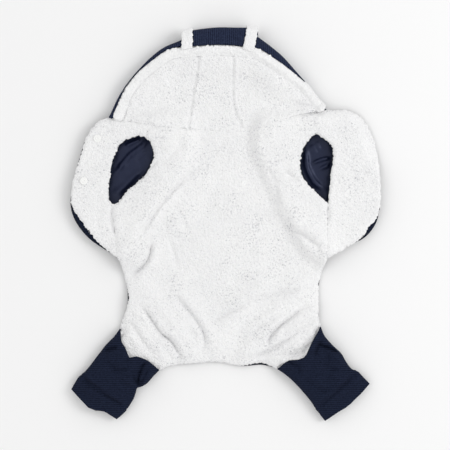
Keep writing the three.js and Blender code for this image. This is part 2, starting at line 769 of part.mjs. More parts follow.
const besideCentre = (sign) => {
  const edge = (sign * TAB_WIDTH) / 2;
  return column([[edge, -FAR], [edge, FAR], [sign * FAR, FAR], [sign * FAR, -FAR]].map(([x, y]) =>
    new THREE.Vector2(x, y)));
};

function hoodShellPanels(sheet, binding) {
  const floor = sheet.intersect(hoodPlan(1));
  const trim = (solid) => solid.intersect(aboveNeck()).subtract(band(neckLine(), GAP)).subtract(binding);
  const seam = (sign) => band([new THREE.Vector2((sign * TAB_WIDTH) / 2, -FAR),
    new THREE.Vector2((sign * TAB_WIDTH) / 2, FAR)], GAP);
  const side = (name, sign) =>
    trim(floor.add(rimEdge(RIMS[name], SHELL_WALL)).intersect(besideCentre(sign)).subtract(seam(sign)));
  const tab = floor.add(rimEdge(RIMS.centre, SHELL_WALL)).subtract(besideCentre(-1)).subtract(besideCentre(1));
  return {
    left: side("left", -1),
    centre: trim(tab.subtract(seam(-1)).subtract(seam(1))),
    right: side("right", 1),
  };
}

function hoodLiningPanels(sheet, binding) {
  const floor = sheet.intersect(hoodPlan(RIM_FOOT + GAP)).intersect(aboveNeck());
  const whole = floor.subtract(band(neckLine(), GAP)).subtract(binding);
  const seams = Object.keys(SIDES).map((name) => smooth(LINING_SEAM[name].map(onTab), 10).map(flat));
  const beyond = seams.map((line, i) => {
    const out = i === 0 ? -FAR : FAR;
    return column([...line, new THREE.Vector2(out, line.at(-1).y), new THREE.Vector2(out, line[0].y)]);
  });
  const parted = seams.reduce((solid, line) => solid.subtract(band(line, GAP)), whole);
  return {
    left: parted.intersect(beyond[0]),
    centre: parted.subtract(beyond[0]).subtract(beyond[1]),
    right: parted.intersect(beyond[1]),
  };
}

// Flattened tube. size gives its width and height at a section and fold lowers its upper face.
const RING_POINTS = 14;
function ring(width, height, inset, fold = () => 0) {
  const soft = (v, power) => Math.sign(v) * Math.abs(v) ** power;
  return Array.from({ length: RING_POINTS }, (_, i) => {
    const angle = ((i + 0.5) / RING_POINTS) * 2 * Math.PI;
    const share = 0.5 - (0.5 - inset / width) * soft(Math.cos(angle), 0.8);
    const up = soft(Math.sin(angle), 0.65);
    const z = height / 2 + (height / 2 - inset) * up;
    return new THREE.Vector2(share, z - Math.max(0, up) * fold(share) * height);
  });
}

function sleeve(name) {
  const { crown, axis } = frameOf(SIDES[name]);
  const rows = rowsOf(SLEEVE_SECTIONS);
  const tube = (inset, from, to) =>
    loft(
      rows.map((row) => ring(row.width * SLEEVE_WIDTH, row.height * SLEEVE_HEIGHT, inset)),
      (i, p) => {
        const along = i === 0 ? rows[0].along * SLEEVE_LENGTH + from : rows[i].along * SLEEVE_LENGTH;
        const end = i === rows.length - 1 ? to : 0;
        const middle = shifted(crown, axis, along + end);
        const at = shifted(middle, across(axis), (p.x - 0.5) * rows[i].width * SLEEVE_WIDTH);
        return new THREE.Vector3(at.x, at.y, p.y);
      },
    );
  const opening = prism(armholeOutline(name), SLEEVE_HEIGHT / 2, ABOVE);
  return tube(0, 0, 0).subtract(tube(SLEEVE_WALL, SLEEVE_WALL, 5)).subtract(opening);
}

// A hind leg spans from its seam on the body to its open end
function legFrame(name) {
  const side = SIDES[name];
  const crotch = name === "left" ? CROTCH_EDGE.rows[0] : CROTCH_EDGE.rows.at(-1);
  const [outer, inner] = [onWaist(WAIST_EDGE[name].at(-1)), onWaist(crotch)];
  const splay = THREE.MathUtils.degToRad(side.legSplay);
  const axis = new THREE.Vector2(side.sign * Math.sin(splay), -Math.cos(splay));
  const turn = THREE.MathUtils.degToRad(side.legSplay - side.hemTurn);
  const hemward = new THREE.Vector2(-side.sign * Math.cos(turn), -Math.sin(turn));
  const middle = shifted(outer.clone().lerp(inner, 0.5), axis, LEG_LENGTH);
  const hemOuter = shifted(middle, hemward, -LEG_HEM_WIDTH / 2);
  const hemInner = shifted(middle, hemward, LEG_HEM_WIDTH / 2);
  const edges = rowsOf(LEG_EDGES);
  return (along, share) => {
    const out = (key) => lookUp(edges, "at", name + key, along) * LEG_HEM_WIDTH;
    const outerAt = shifted(outer.clone().lerp(hemOuter, along), hemward, -out("Outer"));
    const innerAt = shifted(inner.clone().lerp(hemInner, along), hemward, out("Inner"));
    const past = lookUp(edges, "at", `${name}Hem`, share) * THREE.MathUtils.smoothstep(along, HEM_START, 1);
    return shifted(outerAt.lerp(innerAt, share), axis, past * LEG_LENGTH);
  };
}

function legTube(name, stops, inset) {
  const at = legFrame(name);
  const rows = rowsOf(LEG_SECTIONS);
  const sections = stops.map(({ along, extra = 0 }) => {
    const width = at(along, 0).distanceTo(at(along, 1));
    const closing = THREE.MathUtils.clamp((along - rows.at(-1).along) / (1 - rows.at(-1).along), 0, 1);
    const height = THREE.MathUtils.lerp(lookUp(rows, "along", "height", along), LEG_END_HEIGHT, closing);
    const pleat = lookUp(rows, "along", `${name}Pleat`, along);
    const depth = lookUp(rows, "along", `${name}Depth`, along) * (1 - closing);
    const fold = (share) => depth * Math.exp(-(((share - pleat) / 0.12) ** 2));
    return ring(width, height * LEG_HEIGHT, inset - extra, fold);
  });
  return loft(sections, (i, p) => {
    const point = at(stops[i].along, p.x);
    return new THREE.Vector3(point.x, point.y, p.y);
  });
}

const LEG_START = (1.2 * GAP) / LEG_LENGTH;
const HEM_START = 1 - HEM_LENGTH / LEG_LENGTH;
const LEG_LINING_END = HEM_START - 0.02;
const innerStops = (from, to) => {
  const inside = LEG_SECTIONS.rows.map(([along]) => along).filter((along) => along > from + 0.01 && along < to - 0.01);
  return [from, ...inside, to].map((along) => ({ along }));
};

// Space above the lower layer, from the leg seam to the upper edge of the opening
function legMouth(name, extra) {
  const at = legFrame(name);
  const line = smooth(
    rowsOf(LEG_MOUTH).map((row) => new THREE.Vector2(row.along, row[name])),
    9,
  );
  const edge = line.map((p) => at(p.y + extra, p.x));
  const wide = [at(line[0].y + extra, -0.2), ...edge, at(line.at(-1).y + extra, 1.2), at(-0.5, 1.2), at(-0.5, -0.2)];
  return prism(wide, LEG_HEIGHT * 0.36, ABOVE);
}

function legShell(name) {
  const outer = [
    ...innerStops(LEG_START, HEM_START - 0.01),
    { along: HEM_START, extra: HEM_STEP },
    { along: 1, extra: HEM_STEP },
  ];
  const hollow = innerStops(-0.05, 1.05);
  const tube = legTube(name, outer, HEM_STEP).subtract(legTube(name, hollow, HEM_STEP + SHELL_WALL));
  return tube.subtract(legMouth(name, 0));
}

function legLining(name) {
  const inset = HEM_STEP + SHELL_WALL + TUBE_GAP;
  const outer = legTube(name, innerStops(LEG_START, LEG_LINING_END), inset);
  const hollow = legTube(name, innerStops(-0.05, 0.95), inset + LEG_LINING_WALL);
  return outer.subtract(hollow).subtract(legMouth(name, 0.02));
}

// Turned part standing on a point of the chest, with its profile measured from the shell's underside
function turnedPart(place, profile) {
  const at = onChest(place);
  const geometry = new THREE.LatheGeometry(profile.map(([r, z]) => new THREE.Vector2(r, z)), 12);
  return solidOf(geometry.rotateX(Math.PI / 2).translate(at.x, at.y, ground(at.x, at.y)));
}

const LINING_TOP = SHELL_WALL + GAP + LINING_WALL;

// Press stud on the lining. Its post runs through both layers to a cap under the shell.
function stud(place) {
  const [face, back] = [LINING_TOP + GAP, -GAP];
  return turnedPart(place, [
    [0, back - STUD_CAP_HEIGHT],
    [STUD_RADIUS, back - STUD_CAP_HEIGHT],
    [STUD_RADIUS, back],
    [STUD_POST_RADIUS, back],
    [STUD_POST_RADIUS, face],
    [STUD_RADIUS, face],
    [STUD_RADIUS, face + STUD_HEIGHT - STUD_BEVEL],
    [STUD_RADIUS - STUD_BEVEL, face + STUD_HEIGHT],
    [0, face + STUD_HEIGHT],
  ]);
}

// Mate on the outer face of the other flap. Its post ends inside the lining.
function mate(place) {
  return turnedPart(place, [
    [0, -GAP - STUD_HEIGHT],
    [STUD_RADIUS - STUD_BEVEL, -GAP - STUD_HEIGHT],
    [STUD_RADIUS, -GAP - STUD_HEIGHT + STUD_BEVEL],
    [STUD_RADIUS, -GAP],
    [STUD_POST_RADIUS, -GAP],
    [STUD_POST_RADIUS, MATE_POST],
    [0, MATE_POST],
  ]);
}

const MATE_POST = SHELL_WALL + LINING_WALL / 2;

// Cloth with round holes that clear the posts
function pierced(solid, places, top) {
  const radius = STUD_POST_RADIUS + GAP;
  const hole = (place) => turnedPart(place, [[0, BELOW], [radius, BELOW], [radius, top], [0, top]]);
  return places.reduce((left, place) => left.subtract(hole(place)), solid);
}

function material(color, roughness) {
  return new THREE.MeshStandardMaterial({ color, roughness, metalness: 0 });
}

function meshOf(name, solid, color, roughness) {
  const { vertProperties, triVerts } = solid.getMesh();
  const geometry = new THREE.BufferGeometry();
  geometry.setAttribute("position", new THREE.BufferAttribute(new Float32Array(vertProperties), 3));
  geometry.setIndex(new THREE.BufferAttribute(new Uint32Array(triVerts), 1));
  geometry.computeVertexNormals();
  const mesh = new THREE.Mesh(geometry, material(color, roughness));
  mesh.name = name;
  return mesh;
}

const shellMesh = (name, solid) => meshOf(name, solid, NAVY, 0.9);
const sherpaMesh = (name, solid) => meshOf(name, solid, SHERPA, 1);
const sleeveMesh = (name, solid) => meshOf(name, solid, NAVY_SATIN, 0.45);
const studMesh = (name, solid) => meshOf(name, solid, STUD_WHITE, 0.35);

function bodyMeshes() {
  const shells = bodyPanels(layer(0, SHELL_WALL), 0);
  const linings = bodyPanels(layer(SHELL_WALL + GAP, LINING_WALL), EDGE_MARGIN);
  const meshes = [shellMesh("back_shell", shells.back), sherpaMesh("back_lining", linings.back)];
  for (const [name, side] of Object.entries(SIDES)) {
    const places = Object.values(side.studs);
    const top = name === "left" ? ABOVE : MATE_POST + GAP;
    meshes.push(shellMesh(`chest_${name}_shell`, pierced(shells[name], places, top)));
    meshes.push(sherpaMesh(`chest_${name}_lining`, pierced(linings[name], places, top)));
  }
  return meshes;
}

function hoodMeshes() {
  const clearance = bindingRoll(GAP);
  const shells = hoodShellPanels(layer(0, SHELL_WALL), clearance);
  const linings = hoodLiningPanels(layer(SHELL_WALL + GAP, LINING_WALL), clearance);
  const trimmed = bindingRoll(0).intersect(aboveNeck()).subtract(band(neckLine(), GAP));
  const meshes = [sherpaMesh("hood_binding", trimmed)];
  for (const name of ["left", "centre", "right"]) {
    meshes.push(shellMesh(`hood_shell_${name}`, shells[name]));
    meshes.push(sherpaMesh(`hood_lining_${name}`, linings[name]));
  }
  for (const name of Object.keys(SIDES)) {
    meshes.push(sherpaMesh(`hood_stripe_${name}`, stripe(name).subtract(clearance)));
  }
  return meshes;
}

function limbMeshes() {
  return Object.keys(SIDES).flatMap((name) => [
    sleeveMesh(`sleeve_${name}`, sleeve(name)),
    shellMesh(`leg_${name}_shell`, legShell(name)),
    sherpaMesh(`leg_${name}_lining`, legLining(name)),
  ]);
}

function studMeshes() {
  const of = (side, make) =>
    Object.entries(SIDES[side].studs).map(([level, place]) => studMesh(`stud_${side}_${level}`, make(place)));
  return [...of("left", stud), ...of("right", mate)];
}

// The garment stands over the middle of the ground with its lowest point on it
function makeGroup() {
  const garment = new THREE.Group();
  garment.name = "dog_jumpsuit";
  for (const mesh of [...bodyMeshes(), ...hoodMeshes(), ...limbMeshes(), ...studMeshes()]) garment.add(mesh);
  const box = new THREE.Box3().setFromObject(garment);
  const middle = box.getCenter(new THREE.Vector3());
  for (const mesh of garment.children) mesh.geometry.translate(-middle.x, -middle.y, -box.min.z);
  return garment;
}

const group = makeGroup();
export default group;
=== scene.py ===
import math

import bmesh
import bpy
import numpy as np
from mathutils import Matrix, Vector, noise
from mathutils.geometry import delaunay_2d_cdt
from mathutils.kdtree import KDTree


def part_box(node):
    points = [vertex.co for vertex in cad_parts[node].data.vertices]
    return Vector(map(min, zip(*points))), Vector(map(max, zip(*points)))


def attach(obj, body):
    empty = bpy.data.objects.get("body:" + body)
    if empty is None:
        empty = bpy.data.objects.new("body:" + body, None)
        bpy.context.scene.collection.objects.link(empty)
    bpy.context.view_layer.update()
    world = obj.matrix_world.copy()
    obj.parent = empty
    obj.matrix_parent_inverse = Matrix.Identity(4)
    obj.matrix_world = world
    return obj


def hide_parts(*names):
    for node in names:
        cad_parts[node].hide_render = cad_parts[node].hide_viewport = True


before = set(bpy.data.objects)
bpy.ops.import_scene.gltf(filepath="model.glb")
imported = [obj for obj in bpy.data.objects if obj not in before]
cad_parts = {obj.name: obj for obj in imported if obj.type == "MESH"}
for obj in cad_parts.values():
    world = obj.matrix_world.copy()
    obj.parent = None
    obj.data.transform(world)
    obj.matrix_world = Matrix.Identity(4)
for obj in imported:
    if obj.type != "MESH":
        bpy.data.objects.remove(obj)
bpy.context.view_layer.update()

# Sizes of the garment laid flat, in millimetres, as the solids have them
CHEST_WIDTH = 404
WAIST_WIDTH = 256
BODY_LENGTH = 320
HOOD_WIDTH = 288
HOOD_LENGTH = 120
TAB_WIDTH = 99
HOOD_LIP = 24
EDGE_MARGIN = 8
SHELL_WALL = 1.5
LINING_WALL = 5
STRIPE_WALL = 2.5
GAP = 0.3
TUBE_GAP = 0.45
RIM_TURN = 3
RIM_HEIGHT = 16.5
TAB_TURN = 9
TAB_HEIGHT = 21
STRIPE_WIDTH = 14
BINDING_WIDTH = 13.5
BINDING_HEIGHT = 9
ARMHOLE_LENGTH = 97
ARMHOLE_WIDTH = 44
SLEEVE_WIDTH = 65
SLEEVE_LENGTH = 101
SLEEVE_HEIGHT = 10
SLEEVE_WALL = 1.5
SLEEVE_SHOULDER = 20
LEG_LENGTH = 94
LEG_HEM_WIDTH = 73
LEG_HEIGHT = 20
LEG_LINING_WALL = 4
HEM_LENGTH = 21
HEM_STEP = 0.5
STUD_RADIUS = 5
STUD_HEIGHT = 2
STUD_CAP_HEIGHT = 1.4
FOLD_HEIGHT = 7
FOLD_BREADTH = 16
CELL = 18.5

# Steps of the visual meshes, in millimetres
OUTLINE_STEP = 1.3
SHELL_OUTLINE_STEP, SHELL_STEP = 3.0, 4.0
HOOD_STEP = 2.0
FINE = 1.5
COARSE = 4.5
HOOD_COARSE = 5.0
TURN_STEPS = 12  # faces round the turned edge of the hood
BINDING_COUNT = 34  # points round the binding
TAIL_STEPS = 40  # rows of a stripe's straight part

# The pile, the edges of the panels and the depth of the creases
SHELL_SHY = 1.0  # how far the shell stays back behind the pile's edge
SHELL_GIVE, PILE_GIVE = 2.0, 0.6  # how far shell and pile stay back from the armhole
RAGGED_REACH = 1.1
SHELL_ROLL, LINING_ROLL, HOOD_ROLL = (0.8, 0.8), (4.5, 3), (4, 2.4)  # rounding at a free edge and at a seam
SEAM_LEVEL, HOOD_SEAM_LEVEL = 0.86, 0.9  # height of the face at a seam, as a share of the wall
FILL, BINDING_FILL = 0.3, 0.5
PILE_SPACING = 2.8
PILE_HEIGHT = 0.95
PILE_REACH = 1.4
SEAM_ANGLE = math.radians(75)  # a steeper turn between two faces stays sharp
CREASE_GAIN, CREASE_LIMIT = 1.35, -4.6
LEG_CREASE_GAIN, LEG_CREASE_RANGE = 3, (-4.5, 2.4)
SLEEVE_FOLD_GAIN, SLEEVE_FOLD_LIMIT = 1.3, 5.2
MOUTH_LIFT = 7.2  # how high the lining lies where it runs into a leg
CORNER_DROP = 5
FULLNESS, CENTRE_FULLNESS = 8.7, 3.8  # swell of the hood's lining beside the binding
HIDDEN_IN, HIDDEN_DROP, HIDDEN_BINDING = 2.2, 6, 4.4  # how the rim gives way where the binding covers it

# Flap edges: across and down as shares of half the chest width and of the body length, and the lining's margin
FLAP_EDGE = {
    -1: [
        (-0.713, -0.008, 0), (-0.772, 0.004, 0), (-0.824, 0.037, 0), (-0.875, 0.089, 0.15), (-0.901, 0.142, 0.25),
        (-0.93, 0.211, 0.1), (-0.955, 0.284, 0.1), (-0.965, 0.341, 0.3), (-0.946, 0.394, 0.8), (-0.901, 0.443, 1),
        (-0.837, 0.4875, 0.8), (-0.753, 0.524, 0.35), (-0.656, 0.561, 0),
    ],
    1: [
        (0.811, -0.041, 0), (0.888, -0.02, 0), (0.946, 0.02, 0), (0.991, 0.081, 0), (1.017, 0.154, 0),
        (1.03, 0.244, 0), (1.03, 0.345, 0), (1.017, 0.406, 0.4), (0.978, 0.451, 0.9), (0.927, 0.483, 0.4),
        (0.85, 0.508, 0.15), (0.689, 0.565, 0),
    ],
}
WAIST_EDGE = {
    -1: [(-0.995, 0.593, 0), (-0.965, 0.65, 0.02), (-0.945, 0.711, 0.3), (-0.955, 0.78, 0), (-1.016, 0.845, 0)],
    1: [(1.036, 0.617, 0), (1.016, 0.67, 0.2), (1.005, 0.731, 0), (1.0, 0.79, 0), (1.026, 0.837, 0)],
}
CROTCH_EDGE = [
    (-0.609, 1.016, 0), (-0.51, 0.999, 0), (-0.254, 0.987, 0), (-0.05, 0.983, 0), (0.234, 1.003, 0.2),
    (0.427, 0.999, 0.5), (0.579, 1.012, 0),
]
NECK_SEAM = [(-1.0, -0.008), (-0.54, 0.028), (0, 0.044), (0.45, 0.016), (0.72, -0.022), (0.984, -0.041)]

# Rims of the hood: across, up as a share of HOOD_LENGTH, and how far the lip turns in as a share of HOOD_LIP
HOOD_RIM = {
    -1: [
        (-1.0, 0.022, 0.21), (-0.9275, 0.221, 0.13), (-0.8447, 0.379, 0.055), (-0.7375, 0.537, 0.085),
        (-0.629, 0.669, 0.2), (-0.509, 0.778, 0.23), (-0.345, 0.862, 0.33),
    ],
    1: [
        (0.984, 0.109, 0), (0.885, 0.238, 0), (0.794, 0.379, 0.02), (0.685, 0.529, 0.17),
        (0.569, 0.683, 0.37), (0.46, 0.792, 0.45), (0.345, 0.895, 0.6),
    ],
}
TAB_RIM = [
    (-1, 0.935, 0.83), (-0.72, 0.967, 0.9), (-0.36, 0.988, 0.95), (0, 1, 0.98), (0.4, 0.997, 1),
    (0.72, 0.995, 1.08), (1, 0.975, 1.15),
]
LINING_SEAM = {
    -1: [(-0.85, -0.5), (-0.79, -0.11), (-0.66, 0.25), (-0.5, 0.68), (-0.46, 2)],
    1: [(0.7, -0.5), (0.62, -0.11), (0.4, 0.14), (0.38, 0.68), (0.38, 2)],
}
ARMHOLE_LEAF = {
    -1: [
        (0.04, 0.13, 0.12), (0.12, 0.18, 0.23), (0.27, 0.25, 0.35), (0.45, 0.42, 0.48), (0.62, 0.52, 0.55),
        (0.78, 0.5, 0.54), (0.9, 0.38, 0.36), (0.97, 0.2, 0.18),
    ],
    1: [
        (0.113, 0.16, 0.06), (0.265, 0.42, 0.14), (0.425, 0.6, 0.24), (0.586, 0.6, 0.36), (0.746, 0.48, 0.38),
        (0.85, 0.32, 0.24), (0.917, 0.14, 0.1),
    ],
}
SIDE_NAME = {-1: "left", 1: "right"}
SIDES = {
    -1: {"foot": (-0.695, 0.341), "lean": -26.5, "slit": 1, "crown": 0.74, "shift": 0, "splay": 30.5,
         "studs": {"upper": (-0.785, 0.077), "lower": (-0.872, 0.248)}, "leg_splay": 39.6, "hem_turn": 6,
         "stripe_lean": 0},
    1: {"foot": (0.695, 0.341), "lean": -9.8, "slit": 0.945, "crown": 0.77, "shift": 0.23, "splay": 26,
        "studs": {"upper": (0.84, 0.077), "lower": (0.88, 0.248)}, "leg_splay": 41.1, "hem_turn": 0.9,
        "stripe_lean": 11},
}
# Rolls of loose cloth: from, bend and to on the chest, then shares of FOLD_HEIGHT and FOLD_BREADTH
FOLDS = [
    ((-0.3, 0.2), (-0.5, 0.31), (-0.6, 0.53), 0.8, 1.06),
    ((-0.13, 0.26), (-0.35, 0.39), (-0.44, 0.58), 0.4, 1.12),
    ((-0.66, 0.01), (-0.48, 0.03), (-0.35, 0.07), 0.4, 0.94),
    ((-0.5, 0.66), (-0.52, 0.7), (-0.44, 0.76), 0.5, 0.94),
    ((-0.57, 0.74), (-0.51, 0.84), (-0.39, 0.95), 0.9, 0.94),
    ((-0.43, 0.72), (-0.28, 0.82), (-0.19, 0.95), 0.9, 0.94),
    ((-0.26, 0.69), (-0.1, 0.8), (-0.04, 0.93), 0.4, 1.0),
    ((0.42, 0.38), (0.63, 0.43), (0.69, 0.53), 0.8, 0.94),
    ((0.35, 0.04), (0.5, 0.02), (0.66, 0.01), 0.5, 0.94),
    ((0.6, 0.78), (0.5, 0.87), (0.37, 0.96), 0.9, 0.94),
    ((0.51, 0.7), (0.31, 0.8), (0.17, 0.95), 0.9, 0.94),
    ((0.27, 0.68), (0.12, 0.75), (0.01, 0.88), 0.5, 1.0),
]
# Along the leg: height share, then pleat place and depth for the left and the right leg
LEG_SECTIONS = [
    (0, 0.9, 0.5, 0.1, 0.3, 0.05), (0.1, 0.98, 0.6, 0.2, 0.3, 0.1), (0.25, 1, 0.76, 0.25, 0.2, 0.2),
    (0.42, 0.98, 0.92, 0.25, 0.3, 0.12), (0.6, 0.93, 0.95, 0.1, 0.45, 0.05), (0.76, 0.88, 0.9, 0.05, 0.5, 0),
    (1, 0.72, 0.9, 0, 0.5, 0),
]
# Across the leg opening from its outer end: set-back of its upper edge on the left and on the right leg
LEG_MOUTH = [
    (0, 0, 0), (0.15, 0.1, 0.035), (0.27, 0.115, 0.065), (0.39, 0.155, 0.105), (0.46, 0.17, 0.125),
    (0.53, 0.095, 0.14), (0.65, 0.05, 0.1), (0.76, 0.015, 0.025), (0.89, 0.005, 0), (1, 0, 0),
]
# Along the leg: how far the outer and the inner edge of the left leg stand out, then of the right one
LEG_EDGES = [
    (0, 0, 0, 0, 0), (0.13, -0.008, -0.01, -0.05, -0.036), (0.28, 0.013, -0.015, -0.045, -0.055),
    (0.36, 0.01, -0.05, -0.033, -0.058), (0.42, 0.008, -0.094, -0.02, -0.057), (0.48, 0.005, -0.065, -0.02, -0.055),
    (0.59, 0, -0.018, -0.045, -0.048), (0.71, 0.003, 0.005, -0.045, -0.032), (0.77, 0.024, 0.013, 0.006, -0.012),
    (0.85, 0.02, 0.01, 0.012, -0.01), (1, -0.01, -0.015, 0.03, 0.01),
]
# Across the hem from its outer end: how far it hangs past a straight line on the left and on the right leg
LEG_HEMS = [
    (0, -0.01, 0.012), (0.22, 0.028, 0.035), (0.46, 0.068, 0.048), (0.6, 0.045, 0.045), (0.67, 0.01, 0.035),
    (0.74, -0.013, 0.025), (1, -0.011, 0.007),
]
SLEEVE_SECTIONS = [(-0.35, 0.35, 0.6), (-0.29, 0.62, 0.9), (-0.14, 0.88, 1), (0.15, 1, 1), (1, 1, 1)]
SLEEVE_HEAD = -0.14

# Creases in the lining: points across and down in millimetres from the middle of the neck, depth and half-width
CREASES = [
    ([(-32, 65), (-46, 78), (-62, 94), (-74, 108), (-84, 121), (-91, 133), (-101, 146), (-107, 159)], 3.4, 3.6),
    ([(-88, 156), (-92, 178), (-101, 191), (-117, 203)], 3.8, 3.0), ([(-139, 110), (-141, 130), (-135, 153)], 2.2, 3.4),
    ([(-120, 1), (-104, 3), (-88, 7), (-78, 12)], 1.8, 3.2), ([(-91, 62), (-80, 53)], 1.6, 3.6),
    ([(-26, 97), (10, 99), (45, 98)], 1.0, 4.0), ([(-60, 112), (-48, 128), (-44, 150)], 1.0, 5.0),
    ([(-104, 242), (-97, 248), (-86, 264), (-76, 278), (-64, 287), (-57, 297), (-52, 310)], 4.2, 2.8),
    ([(-62, 226), (-50, 238), (-33, 258), (-22, 275), (-20, 288), (-24, 302)], 2.8, 3.2),
    ([(-118, 262), (-104, 281), (-96, 296)], 1.6, 3.2), ([(-12, 262), (6, 252), (22, 246), (40, 242)], 1.8, 3.4),
    ([(91, -21), (123, -18)], 1.6, 3.2), ([(104, -4), (120, -9), (136, -6)], 1.6, 3.2),
    ([(82, 65), (95, 75), (104, 81)], 2.0, 3.4), ([(139, 108), (140, 133)], 1.6, 3.0),
    ([(84, 143), (101, 147), (117, 156), (130, 169)], 3.0, 3.4),
    ([(111, 243), (102, 249), (90, 259), (78, 268), (66, 282), (61, 295)], 4.2, 2.8),
    ([(58, 300), (74, 293), (87, 286), (100, 276), (108, 268)], 2.4, 2.6),
    ([(29, 312), (48, 306), (66, 299), (84, 291)], 2.2, 2.6),
    ([(126, 213), (104, 219), (81, 224), (56, 230), (32, 237), (14, 248), (0, 260)], 2.0, 3.8),
    ([(88, 307), (99, 306), (110, 301), (117, 292)], 3.6, 3.4), ([(84, 251), (60, 262), (40, 277)], 1.6, 3.4),
    ([(123, 255), (115, 268), (100, 283)], 2.0, 3.0), ([(94, 304), (106, 299), (114, 292)], 3.0, 7.0),
    ([(-70, 150), (-60, 172), (-56, 196)], 1.2, 4.5),
    ([(60, 60), (72, 84), (74, 110)], 1.2, 4.5), ([(-20, 20), (-48, 34), (-70, 52)], 1.2, 4.5),
]

SHIFT_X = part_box("hood_shell_centre")[0][0] * 1000 + (TAB_WIDTH - GAP) / 2
SHIFT_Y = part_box("hood_shell_centre")[1][1] * 1000 - HOOD_LENGTH

# Plan geometry

def smooth(points, samples):
    """Centripetal Catmull-Rom line through points"""
    points = np.asarray(points, float)
    ends = np.vstack([2 * points[0] - points[1], points, 2 * points[-1] - points[-2]])
    line = []
    for at in np.linspace(0, len(points) - 1, samples + 1):
        i = min(int(at), len(points) - 2)
        t = at - i
        a, b, c, d = ends[i:i + 4]
        before, here, after = (max(np.linalg.norm(q - p) ** 0.5, 1e-4) for p, q in ((a, b), (b, c), (c, d)))
        leave = ((b - a) / before - (c - a) / (before + here) + (c - b) / here) * here
        arrive = ((c - b) / here - (d - b) / (here + after) + (d - c) / after) * here
        line.append(b + leave * t + (3 * (c - b) - 2 * leave - arrive) * t**2
                    + (2 * (b - c) + leave + arrive) * t**3)
    return np.array(line)


def even(line, step):
    """The line with points at an even spacing near step, its ends kept"""
    line = np.asarray(line, float)
    lengths = np.r_[0, np.cumsum(np.linalg.norm(np.diff(line[:, :2], axis=0), axis=1))]
    at = np.linspace(0, lengths[-1], max(2, int(round(lengths[-1] / step)) + 1))
    return np.column_stack([np.interp(at, lengths, line[:, k]) for k in range(line.shape[1])])


def normals_left(line):
    ends = np.vstack([line[:1, :2], line[:, :2], line[-1:, :2]])
    way = ends[2:] - ends[:-2]
    turned = np.column_stack([-way[:, 1], way[:, 0]])
    return turned / np.maximum(np.linalg.norm(turned, axis=1, keepdims=True), 1e-9)


def smoothstep(value, low, high):
    t = np.clip((value - low) / (high - low), 0, 1)
    return t * t * (3 - 2 * t)


def soft_power(v, power):
    return np.sign(v) * np.abs(v)**power


def nearest(points, line):
    """Distance from each point to a line, and the share of its length at the nearest place"""
    line = np.asarray(line, float)[:, :2]
    starts, ways = line[:-1], np.diff(line, axis=0)
    lengths = np.linalg.norm(ways, axis=1)
    before = np.r_[0, np.cumsum(lengths)][:-1]
    best = np.full(len(points), np.inf)
    share = np.zeros(len(points))
    for start, way, length, gone in zip(starts, ways, lengths, before):
        t = np.clip(((points - start) @ way) / max(length**2, 1e-12), 0, 1)
        away = np.linalg.norm(points - start - t[:, None] * way, axis=1)
        closer = away < best
        best = np.where(closer, away, best)
        share = np.where(closer, gone + t * length, share)
    return best, share / max(lengths.sum(), 1e-9)


def scaled(width, length):
    """Turns shares of half a width and of a length into millimetres"""
    return lambda at: np.array([at[0] * width / 2, at[1] * length])


on_chest, on_waist, on_neck = (scaled(width, -BODY_LENGTH) for width in (CHEST_WIDTH, WAIST_WIDTH, HOOD_WIDTH))
on_hood, on_tab = scaled(HOOD_WIDTH, HOOD_LENGTH), scaled(TAB_WIDTH, HOOD_LENGTH)


def looked_up(table, at, column):
    """Value in a column of a table at a place in its first column"""
    table = np.asarray(table, float)
    return np.interp(at, table[:, 0], table[:, column])


def placed_rows(rows, place, margin, samples):
    """Smooth line through a table's rows, with the third column as a share of a margin"""
    return smooth([(*place(row), row[2] * margin) for row in rows], samples)


def distance(points, lines):
    return np.min([nearest(points, line)[0] for line in lines], axis=0)


def downwards(line):
    """Smooth line through points whose second number is measured down from the neck"""
    return smooth(np.array(line) * (1, -1), 24)


def flat(plan):
    return np.column_stack([plan, np.zeros(len(plan))])


def closed_normals(outline):
    way = np.roll(outline, -1, axis=0) - np.roll(outline, 1, axis=0)
    turned = np.column_stack([-way[:, 1], way[:, 0]])
    return turned / np.maximum(np.linalg.norm(turned, axis=1, keepdims=True), 1e-9)


def signed_area(outline):
    x, y = outline.T
    return 0.5 * np.sum(x * np.roll(y, -1) - np.roll(x, -1) * y)


def frame_of(sign):
    side = SIDES[sign]
    lean, splay = math.radians(side["lean"]) * sign, math.radians(side["splay"])
    foot = on_chest(side["foot"])
    slit = np.array([math.sin(lean), math.cos(lean)])
    middle = np.array([-slit[1], slit[0]]) * sign
    axis = np.array([sign * math.sin(splay), -math.cos(splay)])
    crown = foot + slit * side["crown"] * ARMHOLE_LENGTH + middle * side["shift"] * ARMHOLE_WIDTH
    return foot, slit, middle, axis, crown


def armhole_edges(sign, give=0.0):
    """Inner and outer edge of an armhole, each from its foot to its top, set back by give in the middle"""
    foot, slit, middle = frame_of(sign)[:3]
    top = foot + slit * SIDES[sign]["slit"] * ARMHOLE_LENGTH
    edges = []
    for column, way in ((1, 1), (2, -1)):
        points = []
        for row in ARMHOLE_LEAF[sign]:
            over = row[column] * ARMHOLE_WIDTH + give * min(1, 2 * math.sin(math.pi * row[0]))
            points.append(foot + slit * row[0] * ARMHOLE_LENGTH + middle * way * over)
        edges.append(smooth([foot, *points, top], 60))
    return edges


SLEEVE_LINES = []
for one in (-1, 1):
    sleeve_axis, sleeve_crown = frame_of(one)[3:]
    SLEEVE_LINES.append(np.array([sleeve_crown + sleeve_axis * SLEEVE_HEAD * SLEEVE_LENGTH,
                                  sleeve_crown + sleeve_axis * SLEEVE_LENGTH]))


def bezier(a, b, c, count=16):
    t = np.linspace(0, 1, count + 1)[:, None]
    return (1 - t)**2 * a + 2 * t * (1 - t) * b + t**2 * c


